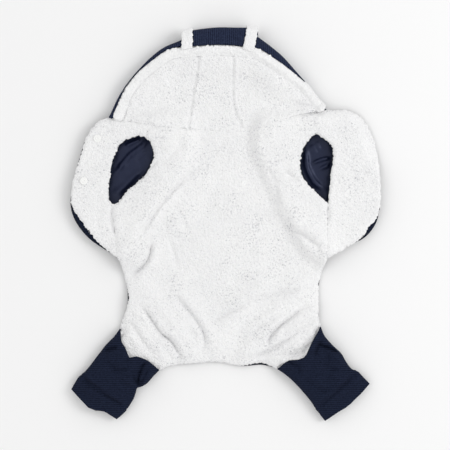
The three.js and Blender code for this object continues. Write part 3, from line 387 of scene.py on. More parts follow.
FOLD_LINES = [(bezier(on_chest(a), on_chest(b), on_chest(c)), height * FOLD_HEIGHT, breadth * FOLD_BREADTH)
              for a, b, c, height, breadth in FOLDS]
STUDS = []
for one in (-1, 1):
    for level_name, place in SIDES[one]["studs"].items():
        under = GAP + (STUD_CAP_HEIGHT if one < 0 else STUD_HEIGHT)
        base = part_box(f"stud_{SIDE_NAME[one]}_{level_name}")[0][2] * 1000 + under
        STUDS.append((one, level_name, on_chest(place), base))


def rise(points):
    """Height of the shell's underside above the ground"""
    points = np.atleast_2d(points)[:, :2]
    near = distance(points, SLEEVE_LINES) - SLEEVE_WIDTH / 2
    level = math.sqrt(2) * CELL
    beside = smoothstep(near, level, level + SLEEVE_SHOULDER)
    height = (SLEEVE_HEIGHT + GAP) * (1 - beside) * (1 - smoothstep(points[:, 1], 0, SLEEVE_SHOULDER))
    for line, top, breadth in FOLD_LINES:
        away = nearest(points, line)[0]
        height += top * np.maximum(0, np.exp(-(away / breadth)**2) - 0.05) / 0.95
    centre = 1 - smoothstep(abs(points[:, 0]), TAB_WIDTH / 2 + CELL, TAB_WIDTH / 2 + 3 * CELL)
    height += (STRIPE_WALL + GAP) * centre * smoothstep(points[:, 1], -3.5 * CELL, -CELL)
    for _, _, place, base in STUDS:
        close = 1 - smoothstep(np.linalg.norm(points - place, axis=1), 8, 26)
        height = height * (1 - close) + base * close
    return height


def crease(points, line, depth, breadth):
    """A valley along a line that fades at its ends, with a soft shoulder on each side"""
    away, share = nearest(points[:, :2], downwards(line))
    ends = np.minimum(1, 4 * np.minimum(share, 1 - share) + 0.1)
    valley = -np.exp(-(away / (0.62 * breadth))**2)
    shoulder = 0.5 * np.exp(-((away - 2.4 * breadth) / (1.7 * breadth))**2)
    return depth * ends * (valley + shoulder)


def creased(points):
    """How far the creases lower the lining's face, and the soft shoulders beside them raise it"""
    change = np.zeros(len(points))
    for line, depth, breadth in CREASES:
        change += CREASE_GAIN * crease(points, line, depth, breadth)
    return np.maximum(change, CREASE_LIMIT)


def to_metres(points):
    return (np.asarray(points, float) + (SHIFT_X, SHIFT_Y, 0)) / 1000


# Meshes

def linked(name, data):
    item = bpy.data.objects.new(name, data)
    bpy.context.scene.collection.objects.link(item)
    return item


def new_object(name, points, faces):
    mesh = bpy.data.meshes.new(name)
    mesh.from_pydata(to_metres(points).tolist(), [], [list(map(int, face)) for face in faces])
    work = bmesh.new()
    work.from_mesh(mesh)
    bmesh.ops.remove_doubles(work, verts=work.verts, dist=1e-6)
    bmesh.ops.recalc_face_normals(work, faces=work.faces)
    work.to_mesh(mesh)
    work.free()
    mesh.shade_smooth()
    return linked(name, mesh)


def inside(points, outline):
    x, y = points[:, 0], points[:, 1]
    odd = np.zeros(len(points), bool)
    for (x0, y0), (x1, y1) in zip(outline, np.roll(outline, -1, axis=0)):
        if y0 == y1:
            continue
        crosses = (y0 > y) != (y1 > y)
        odd ^= crosses & (x < (x1 - x0) * (y - y0) / (y1 - y0) + x0)
    return odd


def filled(outline, step):
    """Triangles over an outline, with inner points on a triangular grid"""
    low, high = outline.min(axis=0), outline.max(axis=0)
    rows = []
    for k, y in enumerate(np.arange(low[1], high[1], step * math.sqrt(3) / 2)):
        xs = np.arange(low[0] + (k % 2) * step / 2, high[0], step)
        rows.append(np.column_stack([xs, np.full(len(xs), y)]))
    grid = np.vstack(rows)
    grid = grid[inside(grid, outline)]
    closed = np.vstack([outline, outline[:1]])
    grid = grid[nearest(grid, closed)[0] > 0.6 * step]
    points = [Vector(p) for p in np.vstack([outline, grid])]
    result = delaunay_2d_cdt(points, [], [list(range(len(outline)))], 1, 1e-6)
    return np.array([tuple(p) for p in result[0]]), result[2]


def slab(outline, seams, thickness, roll, step, bottom_step, seam_level=0.5):
    """Closed sheet over an outline, with a face rounded at its edges. seams are lines where it only dips.
    Returns plan points, heights above the sheet's foot, whether each is on the upper face, and faces."""
    closed = np.vstack([outline, outline[:1]])
    top, top_faces = filled(outline, step)
    bottom, bottom_faces = filled(outline, bottom_step) if bottom_step != step else (top, top_faces)
    free = outline[distance(outline, seams) > 1]
    tree = KDTree(len(free))
    for i, p in enumerate(free):
        tree.insert((p[0], p[1], 0), i)
    tree.balance()

    def height(points, sign):
        edge = nearest(points, closed)[0]
        edge[edge < 0.01] = 0
        open_edge = np.array([tree.find((p[0], p[1], 0))[2] for p in points])
        by_seam = smoothstep(open_edge - distance(points, seams), -1, 5)
        level = 0.5 + (seam_level - 0.5) * by_seam
        reach = roll[0] + (roll[1] - roll[0]) * by_seam if sign > 0 else 0.8
        share = np.clip(edge / reach, 0, 1)
        goal = 1 if sign > 0 else 0
        round_edge = np.sqrt(np.clip(1 - (1 - share)**2, 0, 1))
        return level + (goal - level) * (round_edge + (smoothstep(share, 0, 1) - round_edge) * by_seam)

    heights = np.r_[height(top, 1), height(bottom, -1)] * thickness
    faces = [list(f) for f in top_faces] + [[v + len(top) for v in reversed(f)] for f in bottom_faces]
    upper = np.r_[np.ones(len(top), bool), np.zeros(len(bottom), bool)]
    return np.vstack([top, bottom]), heights, upper, faces


def sampled(points, spacing, seed, value):
    return np.array([value(Vector((p[0] / spacing + seed, p[1] / spacing, p[2] / spacing))) for p in points])


def nubs(points, spacing, seed):
    """Soft bumps between 0 and 1, one every spacing or so"""
    return sampled(points, spacing, seed, lambda at: 1 - min(1, noise.voronoi(at)[0][0] * 1.35)**2)


def waves(points, spacing, seed):
    return sampled(points, spacing, seed, noise.noise)


def displaced(piece, amount):
    """Moves each vertex along its normal by an amount in millimetres, given for its place in the plan"""
    mesh = piece.data
    count = len(mesh.vertices)
    places, directions = np.empty(count * 3), np.empty(count * 3)
    mesh.vertices.foreach_get("co", places)
    mesh.vertex_normals.foreach_get("vector", directions)
    places, directions = places.reshape(-1, 3), directions.reshape(-1, 3)
    local = places * 1000 - (SHIFT_X, SHIFT_Y, 0)
    moved = places + directions * amount(local, directions)[:, None] / 1000
    moved[:, 2] = np.maximum(moved[:, 2], 0)
    mesh.vertices.foreach_set("co", moved.ravel())
    mesh.update()


def sherpa_relief(local, directions):
    fine = nubs(local, PILE_SPACING, 3)
    amount = PILE_HEIGHT * (fine - 0.6) + 0.5 * waves(local, 14, 7) + 0.35 * waves(local, 1.9, 5)
    return np.where(amount < 0, amount * smoothstep(abs(directions[:, 2]), 0.35, 0.8), amount)


def ragged(outline, seams, reach):
    """Outline with the pile's uneven edge where it isn't at a seam"""
    free = smoothstep(distance(outline, seams), 0.5, 4)
    swing = reach * (1.5 * waves(flat(outline), 2.3, 11) + 0.9 * waves(flat(outline), 6.5, 13))
    return outline + closed_normals(outline) * (swing * free)[:, None]


def grid_faces(rows, columns, closed=False):
    faces = []
    for i in range(rows - 1):
        for j in range(columns if closed else columns - 1):
            k = (j + 1) % columns
            faces.append((i * columns + j, i * columns + k, (i + 1) * columns + k, (i + 1) * columns + j))
    return faces


def thickened(outer, inner, closed=False):
    """Sheet or tube wall from rows of points on its outer face and the same rows on its inner face"""
    outer, inner = np.asarray(outer, float), np.asarray(inner, float)
    rows, columns = outer.shape[:2]
    half = rows * columns
    grid = grid_faces(rows, columns, closed)
    faces = grid + [tuple(half + v for v in reversed(face)) for face in grid]
    if closed:
        rings = [range(columns), range(half - columns, half)]
    else:
        rings = [[*range(columns), *range(2 * columns - 1, half, columns),
                  *range(half - 2, half - columns - 1, -1), *range(half - 2 * columns, 0, -columns)]]
    for ring in map(list, rings):
        faces += [(b, a, half + a, half + b) for a, b in zip(ring, ring[1:] + ring[:1])]
    return np.vstack([outer.reshape(-1, 3), inner.reshape(-1, 3)]), faces


def closed_tube(sections):
    """Solid tube through rings of points, with a cap at each end"""
    rows, count = sections.shape[:2]
    faces = grid_faces(rows, count, closed=True)
    faces.append(tuple(range(count)))
    faces.append(tuple(range(rows * count - 1, (rows - 1) * count - 1, -1)))
    return sections.reshape(-1, 3), faces


# Outlines of the panels

NECK_LINE = np.array([on_neck(at) for at in NECK_SEAM])


def neck_meeting(sign):
    """Where the seam above an armhole reaches the neck seam"""
    foot, slit = frame_of(sign)[:2]
    for t in np.linspace(SIDES[sign]["slit"], 2, 2000):
        p = foot + slit * t * ARMHOLE_LENGTH
        if p[1] >= looked_up(NECK_LINE, p[0], 1):
            return p
    return p


def neck_between(x0, x1):
    """Part of the neck seam from one x to another"""
    xs = sorted([x0, x1] + [x for x in NECK_LINE[:, 0] if min(x0, x1) < x < max(x0, x1)])
    part = np.column_stack([xs, looked_up(NECK_LINE, xs, 1)])
    return part if x0 < x1 else part[::-1]


def edge_line(sign, margin, edge, place, samples):
    """Outer edge of a panel, drawn in by each row's share of the margin"""
    line = placed_rows(edge[sign], place, margin, samples)
    return line[:, :2] + normals_left(line) * (-sign * line[:, 2:3])


def crotch_line(margin):
    points = [on_waist(row) + (0, row[2] * margin) for row in CROTCH_EDGE]
    return smooth(points, 50)


def joined(*lines):
    """Closed outline from lines that meet end to end"""
    points = [np.asarray(line, float)[:, :2] for line in lines]
    whole = [points[0]]
    for line in points[1:]:
        whole.append(line[1:] if np.linalg.norm(line[0] - whole[-1][-1]) < 0.05 else line)
    whole = np.vstack(whole)
    return whole[:-1] if np.linalg.norm(whole[0] - whole[-1]) < 0.05 else whole


def drawn_in(outline, depth):
    """Closed outline moved inwards"""
    return outline + closed_normals(outline) * np.sign(signed_area(outline)) * depth


def leg_ends(sign):
    """Outer and inner end of a leg's opening"""
    return on_waist(WAIST_EDGE[sign][-1]), on_waist(CROTCH_EDGE[0 if sign < 0 else -1])


def into_leg(sign):
    """Edge of the lining inside a leg opening, from its outer to its inner end"""
    share = np.linspace(0, 1, 40)
    set_back = looked_up(LEG_MOUTH, share, 1 if sign < 0 else 2)
    return leg_at(sign)(set_back + 0.05 * np.sin(np.pi * share), share)


def mouth_lift(plan):
    """Least height of the lining's foot where it runs into a leg"""
    least = np.zeros(len(plan))
    for sign in (-1, 1):
        outer, inner = leg_ends(sign)
        way = inner - outer
        normal = np.array([sign * abs(way[1]), -abs(way[0])]) / np.linalg.norm(way)
        share = (plan - outer) @ way / (way @ way)
        beyond = (plan - outer) @ normal
        window = smoothstep(share, 0.0, 0.2) * (1 - smoothstep(share, 0.84, 1.0))
        least = np.maximum(least, MOUTH_LIFT * window * smoothstep(beyond, -26, -2))
    return least


def body_outlines(margin, step, give):
    """Outline and seam lines of the back and of the two chest panels"""
    panels, above, below, inners, meetings, flaps = {}, {}, {}, {}, {}, {}
    for sign in (-1, 1):
        inner, outer = armhole_edges(sign, give)
        meeting, flap = neck_meeting(sign), edge_line(sign, margin, FLAP_EDGE, on_chest, 90)
        hood_corner = on_neck(NECK_SEAM[0 if sign < 0 else -1])
        neck = neck_between(meeting[0], hood_corner[0])
        above[sign], below[sign] = np.array([inner[-1], meeting]), np.array([flap[-1], inner[0]])
        lines = [neck, np.vstack([hood_corner, flap]), below[sign], outer, above[sign]]
        panels[SIDE_NAME[sign]] = (joined(*[even(line, step) for line in lines]), [neck, below[sign], above[sign]])
        inners[sign], meetings[sign], flaps[sign] = inner, meeting, flap
    waist = {sign: edge_line(sign, margin, WAIST_EDGE, on_waist, 30) for sign in (-1, 1)}
    crotch = crotch_line(margin)
    neck = neck_between(meetings[1][0], meetings[-1][0])
    legs = [np.array([waist[-1][-1], crotch[0]]), np.array([crotch[-1], waist[1][-1]])]
    if margin:
        legs = [into_leg(-1), into_leg(1)[::-1]]
    lines = [above[-1][::-1], inners[-1][::-1], below[-1][::-1], np.vstack([flaps[-1][-1], waist[-1]]), legs[0], crotch,
             legs[1], np.vstack([waist[1][::-1], flaps[1][-1]]), below[1], inners[1], above[1], neck]
    seams = [neck, *legs, above[-1], above[1], below[-1], below[1]]
    panels["back"] = (joined(*[even(line, step) for line in lines]), seams)
    return panels


def keep(piece, node, material):
    piece.data.materials.clear()
    piece.data.materials.append(material)
    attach(piece, "root")
    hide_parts(node)
    return piece


# Materials

def colour(r, g, b):
    """Linear colour from display values between 0 and 255"""
    def linear(v):
        v /= 255
        return v / 12.92 if v <= 0.04045 else ((v + 0.055) / 1.055)**2.4
    return (linear(r), linear(g), linear(b), 1)


WHITE = (255, 255, 255)


class Surface:
    """A material with one principled surface, and short ways to add nodes to it"""

    def __init__(self, name, **values):
        self.material = bpy.data.materials.new(name)
        self.material.use_nodes = True
        self.nodes, self.links = self.material.node_tree.nodes, self.material.node_tree.links
        self.sockets = self.nodes["Principled BSDF"].inputs
        for key, value in values.items():
            self.sockets[key.replace("_", " ")].default_value = value

    def add(self, kind, wires=(), **values):
        """New node with its settings, and with a value or another node's output on the named sockets"""
        made = self.nodes.new("ShaderNode" + kind)
        for key, value in values.items():
            if hasattr(made, key):
                setattr(made, key, value)
            else:
                made.inputs[key].default_value = value
        for socket, source in wires:
            if isinstance(source, float):
                made.inputs[socket].default_value = source
            else:
                self.links.new(source, made.inputs[socket])
        return made

    def texture(self, kind, output="Fac", **values):
        place = self.nodes.get("Texture Coordinate") or self.nodes.new("ShaderNodeTexCoord")
        return self.add("Tex" + kind, [("Vector", place.outputs["Object"])], **values).outputs[output]

    def ramp(self, value, low, high, start=0.0, end=1.0):
        made = self.add("ValToRGB", [("Fac", value)])
        for i, (place, tone) in enumerate(((start, low), (end, high))):
            made.color_ramp.elements[i].position = place
            made.color_ramp.elements[i].color = colour(*tone)
        return made.outputs["Color"]

    def math(self, operation, *sources):
        return self.add("Math", enumerate(sources), operation=operation).outputs[0]

    def multiplied(self, factor, a, b):
        made = self.add("Mix", data_type="RGBA", blend_type="MULTIPLY", Factor=factor)
        self.links.new(a, made.inputs["A"])
        self.links.new(b, made.inputs["B"])
        return made.outputs["Result"]

    def finished(self, tone, height, strength, distance):
        self.links.new(tone, self.sockets["Base Color"])
        bump = self.add("Bump", [("Height", height)], Strength=strength, Distance=distance)
        self.links.new(bump.outputs["Normal"], self.sockets["Normal"])
        return self.material


def sherpa_material(name, spotted):
    made = Surface(name, Roughness=0.95, Specular_IOR_Level=0.2, Sheen_Weight=0.1, Sheen_Roughness=0.6)
    curls = made.texture("Voronoi", "Distance", feature="SMOOTH_F1", Scale=520.0, Smoothness=0.5)
    fibres = made.texture("Noise", Scale=900.0, Detail=3.0, Roughness=0.65)
    patches = made.texture("Noise", Scale=22.0, Detail=3.0)
    specks = made.texture("Noise", Scale=430.0, Detail=2.0, Roughness=0.7)
    clusters = made.texture("Noise", Scale=38.0, Detail=1.0)
    # The curls ramp is painted shade: it darkens the colour in the crevices between the pile's curls.
    shade = made.ramp(curls, (255, 255, 254), (246, 246, 247), end=0.8)
    spread = made.ramp(patches, (228, 228, 231), WHITE, 0.35, 0.62)
    dark = made.ramp(made.math("MULTIPLY_ADD", clusters, 0.3, specks), WHITE, (178, 179, 184), 0.73, 0.98)
    tone = made.multiplied(spotted, made.multiplied(0.15 * spotted, shade, spread), dark)
    return made.finished(tone, made.math("SUBTRACT", fibres, curls), 0.8, 0.0012)


def navy_material(name, way, dark, light):
    made = Surface(name, Roughness=0.9, Specular_IOR_Level=0.06, Sheen_Weight=0.02)
    rib = made.texture("Wave", wave_type="BANDS", bands_direction=way, Scale=115.0, Distortion=0.8, Detail=2.0)
    fibres = made.texture("Noise", Scale=700.0, Detail=3.0)
    # The rib bands in the colour are painted highlight on the ridges and painted shade in the grooves; the fine noise
    # is the yarn's own uneven tone. Both also drive the bump.
    mixed = made.math("MULTIPLY_ADD", rib, 0.4, fibres)
    return made.finished(made.ramp(mixed, dark, light, 0.3), mixed, 0.6, 0.0006)


def grained_material(name, grain, dark, light, strength, distance, **values):
    made = Surface(name, **values)
    weave = made.texture("Noise", Scale=grain, Detail=2.0)
    return made.finished(made.ramp(weave, dark, light), weave, strength, distance)


SHERPA, TRIM = sherpa_material("sherpa_pile", 1.0), sherpa_material("sherpa_trim", 0.2)
SATIN = grained_material("navy_satin", 1800.0, (8, 12, 28), (26, 34, 60), 0.2, 0.0002, Roughness=0.36,
                         Specular_IOR_Level=0.5, Specular_Tint=(0.6, 0.66, 0.95, 1), Sheen_Weight=0.02)
PLASTIC = grained_material("stud_plastic", 500.0, (240, 240, 238), (252, 252, 251), 0.08, 0.0001, Roughness=0.3)
NAVY = navy_material("navy_knit", "Y", (6, 9, 22), (34, 41, 61))
HOOD_NAVY = navy_material("navy_rib", "X", (10, 14, 30), (48, 56, 80))

# Body

def placed_slab(outline, seams, foot, wall, roll, step, bottom_step, seam_level=0.5, lining=True):
    """Sheet that lies over the folds and sleeves, its foot a given way above them"""
    plan, heights, upper, faces = slab(outline, seams, wall, roll, step, bottom_step, seam_level)
    base = rise(plan) + foot
    if lining:
        base = np.maximum(base, mouth_lift(plan))
        base = base + creased(plan) * smoothstep(heights, 0.55 * wall, 0.95 * wall) * upper
    return np.column_stack([plan, base + heights]), faces


def make_pile(node, points, faces, fill, material=SHERPA, relief=sherpa_relief, sharp=False):
    """Padded piece of sherpa in place of a node"""
    piece = new_object(node + "_pile", points, faces)
    if relief:
        displaced(piece, relief)
    if sharp:
        piece.data.set_sharp_from_angle(angle=SEAM_ANGLE)
    keep(piece, node, material)


def make_body():
    for name, (outline, seams) in body_outlines(0, SHELL_OUTLINE_STEP, -SHELL_SHY - SHELL_GIVE).items():
        node = "back_shell" if name == "back" else f"chest_{name}_shell"
        outline = drawn_in(outline, SHELL_SHY)
        points, faces = placed_slab(outline, seams, 0, SHELL_WALL, SHELL_ROLL, SHELL_STEP, SHELL_STEP, lining=False)
        piece = keep(new_object(node + "_cloth", points, faces), node, NAVY)
    for name, (outline, seams) in body_outlines(EDGE_MARGIN, OUTLINE_STEP, PILE_GIVE).items():
        outline = ragged(outline, seams, RAGGED_REACH)
        points, faces = placed_slab(outline, seams, SHELL_WALL + GAP, LINING_WALL, LINING_ROLL, FINE, COARSE,
                                    SEAM_LEVEL)
        make_pile("back_lining" if name == "back" else f"chest_{name}_lining", points, faces, FILL, sharp=True)


# Hood

def corner_drop(points):
    """How far the rim sinks towards the flaps"""
    return CORNER_DROP * smoothstep(abs(points[:, 0]), 90, 120) * (1 - smoothstep(points[:, 1], 2, 34))


def rim_top(points):
    """Height of the turned edge's top above the ground"""
    points = np.atleast_2d(points)
    share = 1 - smoothstep(abs(points[:, 0]), TAB_WIDTH / 2, TAB_WIDTH / 2 + 4 * CELL)
    return rise(points) + RIM_HEIGHT + (TAB_HEIGHT - RIM_HEIGHT) * share - corner_drop(points)


def rim_of(sign):
    """Rim points with the way inwards, the turn's depth and how far the lip comes back"""
    if sign:
        line = placed_rows(HOOD_RIM[sign], on_hood, HOOD_LIP, 60)
        inwards = normals_left(line) * sign
    else:
        line = placed_rows(TAB_RIM, on_tab, HOOD_LIP, 40)
        inwards = np.tile((0.0, -1.0), (len(line), 1))
    turn = np.clip(line[:, 2] - 0.6, 0.8, TAB_TURN)
    lip = np.maximum(line[:, 2], turn + 0.6)
    hidden = 1 - smoothstep(line[:, 2], 0.3, 1.2)
    return {"at": line[:, :2] + inwards * HIDDEN_IN * hidden[:, None], "inwards": inwards, "turn": turn, "lip": lip,
            "base": rise(line), "top": rim_top(line) - HIDDEN_DROP * hidden, "hidden": hidden}


RIMS = {sign: rim_of(sign) for sign in (-1, 0, 1)}


def rim_profile(turn, lip, base, top, inset, away=0.0):
    """Turned edge seen from its end: from under the lining, round the turn and back to the lip"""
    angle = np.pi * (np.linspace(0, 1, TURN_STEPS + 1) - 0.5)
    middle, half = (top + base) / 2, (top - base) / 2 - inset
    u = turn - (turn - inset) * np.cos(angle)
    z = middle + half * np.sin(angle)
    back = np.linspace(turn, lip, 6)[1:]
    return np.r_[u, back] - away, np.r_[z, np.full(5, top - inset)]


def hood_shell(sign):
    """Panel from a fan or from straight rows, round the turned edge to the lip, with its mean run and its breadth"""
    rim = RIMS[sign]
    outer, inner = [], []
    for i in range(len(rim["at"])):
        at, way = rim["at"][i], rim["inwards"][i]
        turn, lip, base, top = (rim[key][i] for key in ("turn", "lip", "base", "top"))
        root_x = sign * (TAB_WIDTH / 2 + GAP) if sign else at[0]
        root = np.array([root_x, looked_up(NECK_LINE, sign * TAB_WIDTH / 2 if sign else root_x, 1) + GAP])
        foot = at + way * turn
        floor = root + (foot - root) * np.linspace(0, 1, 14)[:-1, None]
        for wall, rows in ((0.0, outer), (SHELL_WALL, inner)):
            u, z = rim_profile(turn, lip, base, top, wall)
            over = at + way * u[:, None]
            up = np.clip((z - base - SHELL_WALL) / (RIM_HEIGHT / 2), 0, 1)
            z = z + (rise(over) - base) * (1 - up)
            rows.append(np.column_stack([np.vstack([floor, over]), np.r_[rise(floor) + wall, z]]))
    points, faces = thickened(outer, inner)
    run = sum(np.linalg.norm(np.diff(np.array(row), axis=0), axis=1).sum() for row in outer) / len(outer)
    breadth = np.linalg.norm(np.diff(rim["at"], axis=0), axis=1).sum()
    return points, faces, run, breadth


def make_hood():
    for sign in RIMS:
        name = SIDE_NAME.get(sign, "centre")
        points, faces, run, breadth = hood_shell(sign)
        piece = new_object(f"hood_shell_{name}_cloth", points, faces)
        keep(piece, f"hood_shell_{name}", HOOD_NAVY)
    make_binding()
    make_hood_lining()
    make_stripes()


BINDING_CUT = 4  # rim points left out where two rims meet


def binding_line():
    places = []
    for sign, rim in RIMS.items():
        away = rim["lip"] + GAP + BINDING_WIDTH / 2 - HIDDEN_BINDING * rim["hidden"]
        line = rim["at"] + rim["inwards"] * away[:, None]
        line = line[0 if sign else BINDING_CUT:len(line) - BINDING_CUT]
        places.append(line[::-1] if sign == 1 else line)
    return even(smooth(np.vstack(places)[::6], 160), 1.7)


def binding_tops(line):
    """Level of the turned edge across the binding, just below its top"""
    normals = normals_left(line)
    return np.max([rim_top(line + normals * share * BINDING_WIDTH) for share in (-0.5, 0, 0.5)], axis=0) - GAP


def make_binding():
    """Piled strip with round ends whose top reaches over the lip of the turned edge"""
    line = binding_line()
    normals = normals_left(line)
    tops = binding_tops(line)
    angle = np.linspace(0, 2 * np.pi, BINDING_COUNT, endpoint=False)
    across, up = soft_power(np.cos(angle), 0.8), soft_power(np.sin(angle), 0.8)
    over = PILE_REACH * smoothstep(up, 0.72, 0.9) * smoothstep(across, 0.0, 0.3)
    gone = np.r_[0, np.cumsum(np.linalg.norm(np.diff(line, axis=0), axis=1))]
    points = []
    for at, normal, top, place, drop in zip(line, normals, tops, np.minimum(gone, gone[-1] - gone), corner_drop(line)):
        full = math.sqrt(max(0.02, 1 - (1 - min(1, place / 5))**2))
        low = top - BINDING_HEIGHT + drop
        high = low + (top + PILE_REACH - low) * full
        inner = smoothstep(-across, 0.1, 1.0)
        upper, lower = high - 2.5 * full * inner, np.minimum(low + 5 * inner, high - 3)
        z = (lower + upper) / 2 + up * (upper - lower) / 2
        tuft = max(0.0, 1.1 + 2.8 * noise.noise(Vector((at[0] / 3.0, at[1] / 3.0, 5.0))))
        u = across * BINDING_WIDTH / 2 * full + over * full * tuft
        points.append(np.column_stack([at + normal * u[:, None], z]))
    make_pile("hood_binding", *closed_tube(np.array(points)), BINDING_FILL, TRIM)


# Seams of the hood's lining: side, place beside the seam, height and half-width of each ridge or valley
SEAM_RIDGES = ((-1, 0.9, 1.8, 1.6), (-1, -2.6, -1.3, 1.9), (1, -1.6, -1.9, 1.7), (1, 1.6, 0.9, 1.7))


def hood_fullness(plan):
    """How far the lining of the hood's sides swells up beside the binding"""
    line = binding_line()
    within = inside(plan, np.vstack([line, [(line[-1, 0], -60), (line[0, 0], -60)]]))
    near = nearest(plan, line)[0]
    swell = within * smoothstep(near, 2.8, 7.2) * (1 - smoothstep(near, 8, 46))
    centre = 1 - smoothstep(abs(plan[:, 0]), TAB_WIDTH / 2, TAB_WIDTH / 2 + 4 * CELL)
    change = (FULLNESS + CENTRE_FULLNESS * centre) * swell * smoothstep(plan[:, 1], 2, 26)
    for sign, place, height, breadth in SEAM_RIDGES:
        seam = smooth([on_tab(at) for at in LINING_SEAM[sign]], 60) + (place, 0)
        change += height * np.exp(-(nearest(plan, seam)[0] / breadth)**2)
    return change


def make_hood_lining():
    inner = {}
    for sign, edge in RIMS.items():
        under = np.maximum(edge["turn"], RIM_TURN if sign else TAB_TURN) + 2.8
        inner[sign] = edge["at"] + edge["inwards"] * under[:, None]
    rim = smooth(np.vstack([inner[-1], inner[0], inner[1][::-1]])[::8], 240)
    neck = neck_between(rim[-1][0], rim[0][0])

    def crossing(line, other):
        return int(np.argmin(nearest(line, other)[0]))

    ends = {}
    for sign in (-1, 1):
        seam = smooth([on_tab(at) for at in LINING_SEAM[sign]], 80)
        ends[sign] = crossing(rim, seam), seam[crossing(seam, neck):crossing(seam, rim)]
    (first, left), (second, right) = ends[-1], ends[1]
    necks = [neck_between(a[0], b[0]) for a, b in ((left[0], rim[0]), (right[0], left[0]), (rim[-1], right[0]))]
    panels = {
        "left": ([rim[:first + 1], left[::-1], necks[0]], [left, necks[0]]),
        "centre": ([rim[first:second + 1], right[::-1], necks[1], left], [left, right, necks[1]]),
        "right": ([rim[second:], necks[2], right], [right, necks[2]]),
    }
    for name, (lines, dips) in panels.items():
        outline = joined(*[even(line, HOOD_STEP) for line in lines])
        points, faces = placed_slab(outline, dips, SHELL_WALL + GAP, LINING_WALL, HOOD_ROLL, FINE, HOOD_COARSE,
                                    HOOD_SEAM_LEVEL)
        points[:, 2] += hood_fullness(points[:, :2])
        make_pile(f"hood_lining_{name}", points, faces, FILL, sharp=True)


def make_stripes():
    rim = RIMS[0]
    for sign in (-1, 1):
        middle = sign * (TAB_WIDTH - STRIPE_WIDTH) / 2
        lean = math.tan(math.radians(SIDES[sign]["stripe_lean"]))
        away = STRIPE_WALL + GAP
        outer, inner = [], []
        for share in np.linspace(-0.5, 0.5, 15):
            x = middle + share * (STRIPE_WIDTH - GAP)
            y, lip = (np.interp(x, rim["at"][:, 0], values) for values in (rim["at"][:, 1], rim["lip"]))
            top = rim_top(np.array([[x, y]]))[0]
            tail = y + NECK_SEAM[2][1] * BODY_LENGTH - CELL
            soft = 0.7 * (2 * abs(share))**6
            for inset, rows in ((0.0, outer), (STRIPE_WALL, inner)):
                drop = soft if inset == 0 else -soft
                u, z = rim_profile(TAB_TURN + away, lip + away + 3, 0, top + away, inset + drop, away)
                u = np.r_[np.linspace(tail, u[0], TAIL_STEPS)[:-1], u]
                z = np.r_[np.full(TAIL_STEPS - 1, z[0]), z]
                gone = np.r_[0, np.cumsum(np.hypot(np.diff(u), np.diff(z)))]
                hidden = TAIL_STEPS - 10
                at = np.r_[gone[:hidden], np.arange(gone[hidden], gone[-1] + 0.6, OUTLINE_STEP)]
                u, z = np.interp(at, gone, u), np.interp(at, gone, z)
                ripple = waves(np.column_stack([np.full(len(u), sign * 40.0), u, z]), 2.6, 17 + (share > 0))
                over = np.where(z > TAB_HEIGHT / 2, np.maximum(0, u), 0)
                rows.append(np.column_stack([x - lean * over + 1.4 * (2 * share)**5 * ripple, y - u, z]))
        rows = min(len(row) for row in outer + inner)
        outer, inner = ([row[-rows:] for row in side] for side in (outer, inner))
        points, faces = thickened(outer, inner)
        raised = np.arange(len(points)) < len(points) // 2
        make_pile(f"hood_stripe_{SIDE_NAME[sign]}", points, faces, FILL, TRIM,
                  lambda local, ways: raised * (0.4 + 0.9 * sherpa_relief(local, ways)))


# Limbs

HEM_START = 1 - HEM_LENGTH / LEG_LENGTH
HEM_GATHER = 0.9  # depth of the groove where the hem begins
LEG_COUNT, SLEEVE_COUNT = 72, 96  # points round a leg and round a sleeve


def even_angles(count):
    return (np.arange(count) + 0.5) / count * 2 * np.pi


def ring(angle, width, height, inset):
    share = 0.5 - (0.5 - inset / width) * soft_power(np.cos(angle), 0.8)
    up = soft_power(np.sin(angle), 0.65)
    return share, height / 2 + (height / 2 - inset) * up, np.maximum(0, up)


def leg_at(sign):
    side = SIDES[sign]
    outer, inner = leg_ends(sign)
    splay = math.radians(side["leg_splay"])
    axis = np.array([sign * math.sin(splay), -math.cos(splay)])
    turn = math.radians(side["leg_splay"] - side["hem_turn"])
    hemward = np.array([-sign * math.cos(turn), -math.sin(turn)])
    middle = (outer + inner) / 2 + axis * LEG_LENGTH
    hem_outer, hem_inner = middle - hemward * LEG_HEM_WIDTH / 2, middle + hemward * LEG_HEM_WIDTH / 2
    edges = smooth(LEG_EDGES, 120)
    first, hem_column = (1, 1) if sign < 0 else (3, 2)

    def at(along, share):
        out, into = (looked_up(edges, along, first + k) * LEG_HEM_WIDTH for k in (0, 1))
        past = looked_up(LEG_HEMS, share, hem_column) * smoothstep(along, HEM_START, 1) * LEG_LENGTH
        along = np.asarray(along, float)[..., None]
        a = outer + (hem_outer - outer) * along - hemward * np.asarray(out)[..., None]
        b = inner + (hem_inner - inner) * along + hemward * np.asarray(into)[..., None]
        return a + (b - a) * np.asarray(share)[..., None] + axis * np.asarray(past)[..., None]

    return at


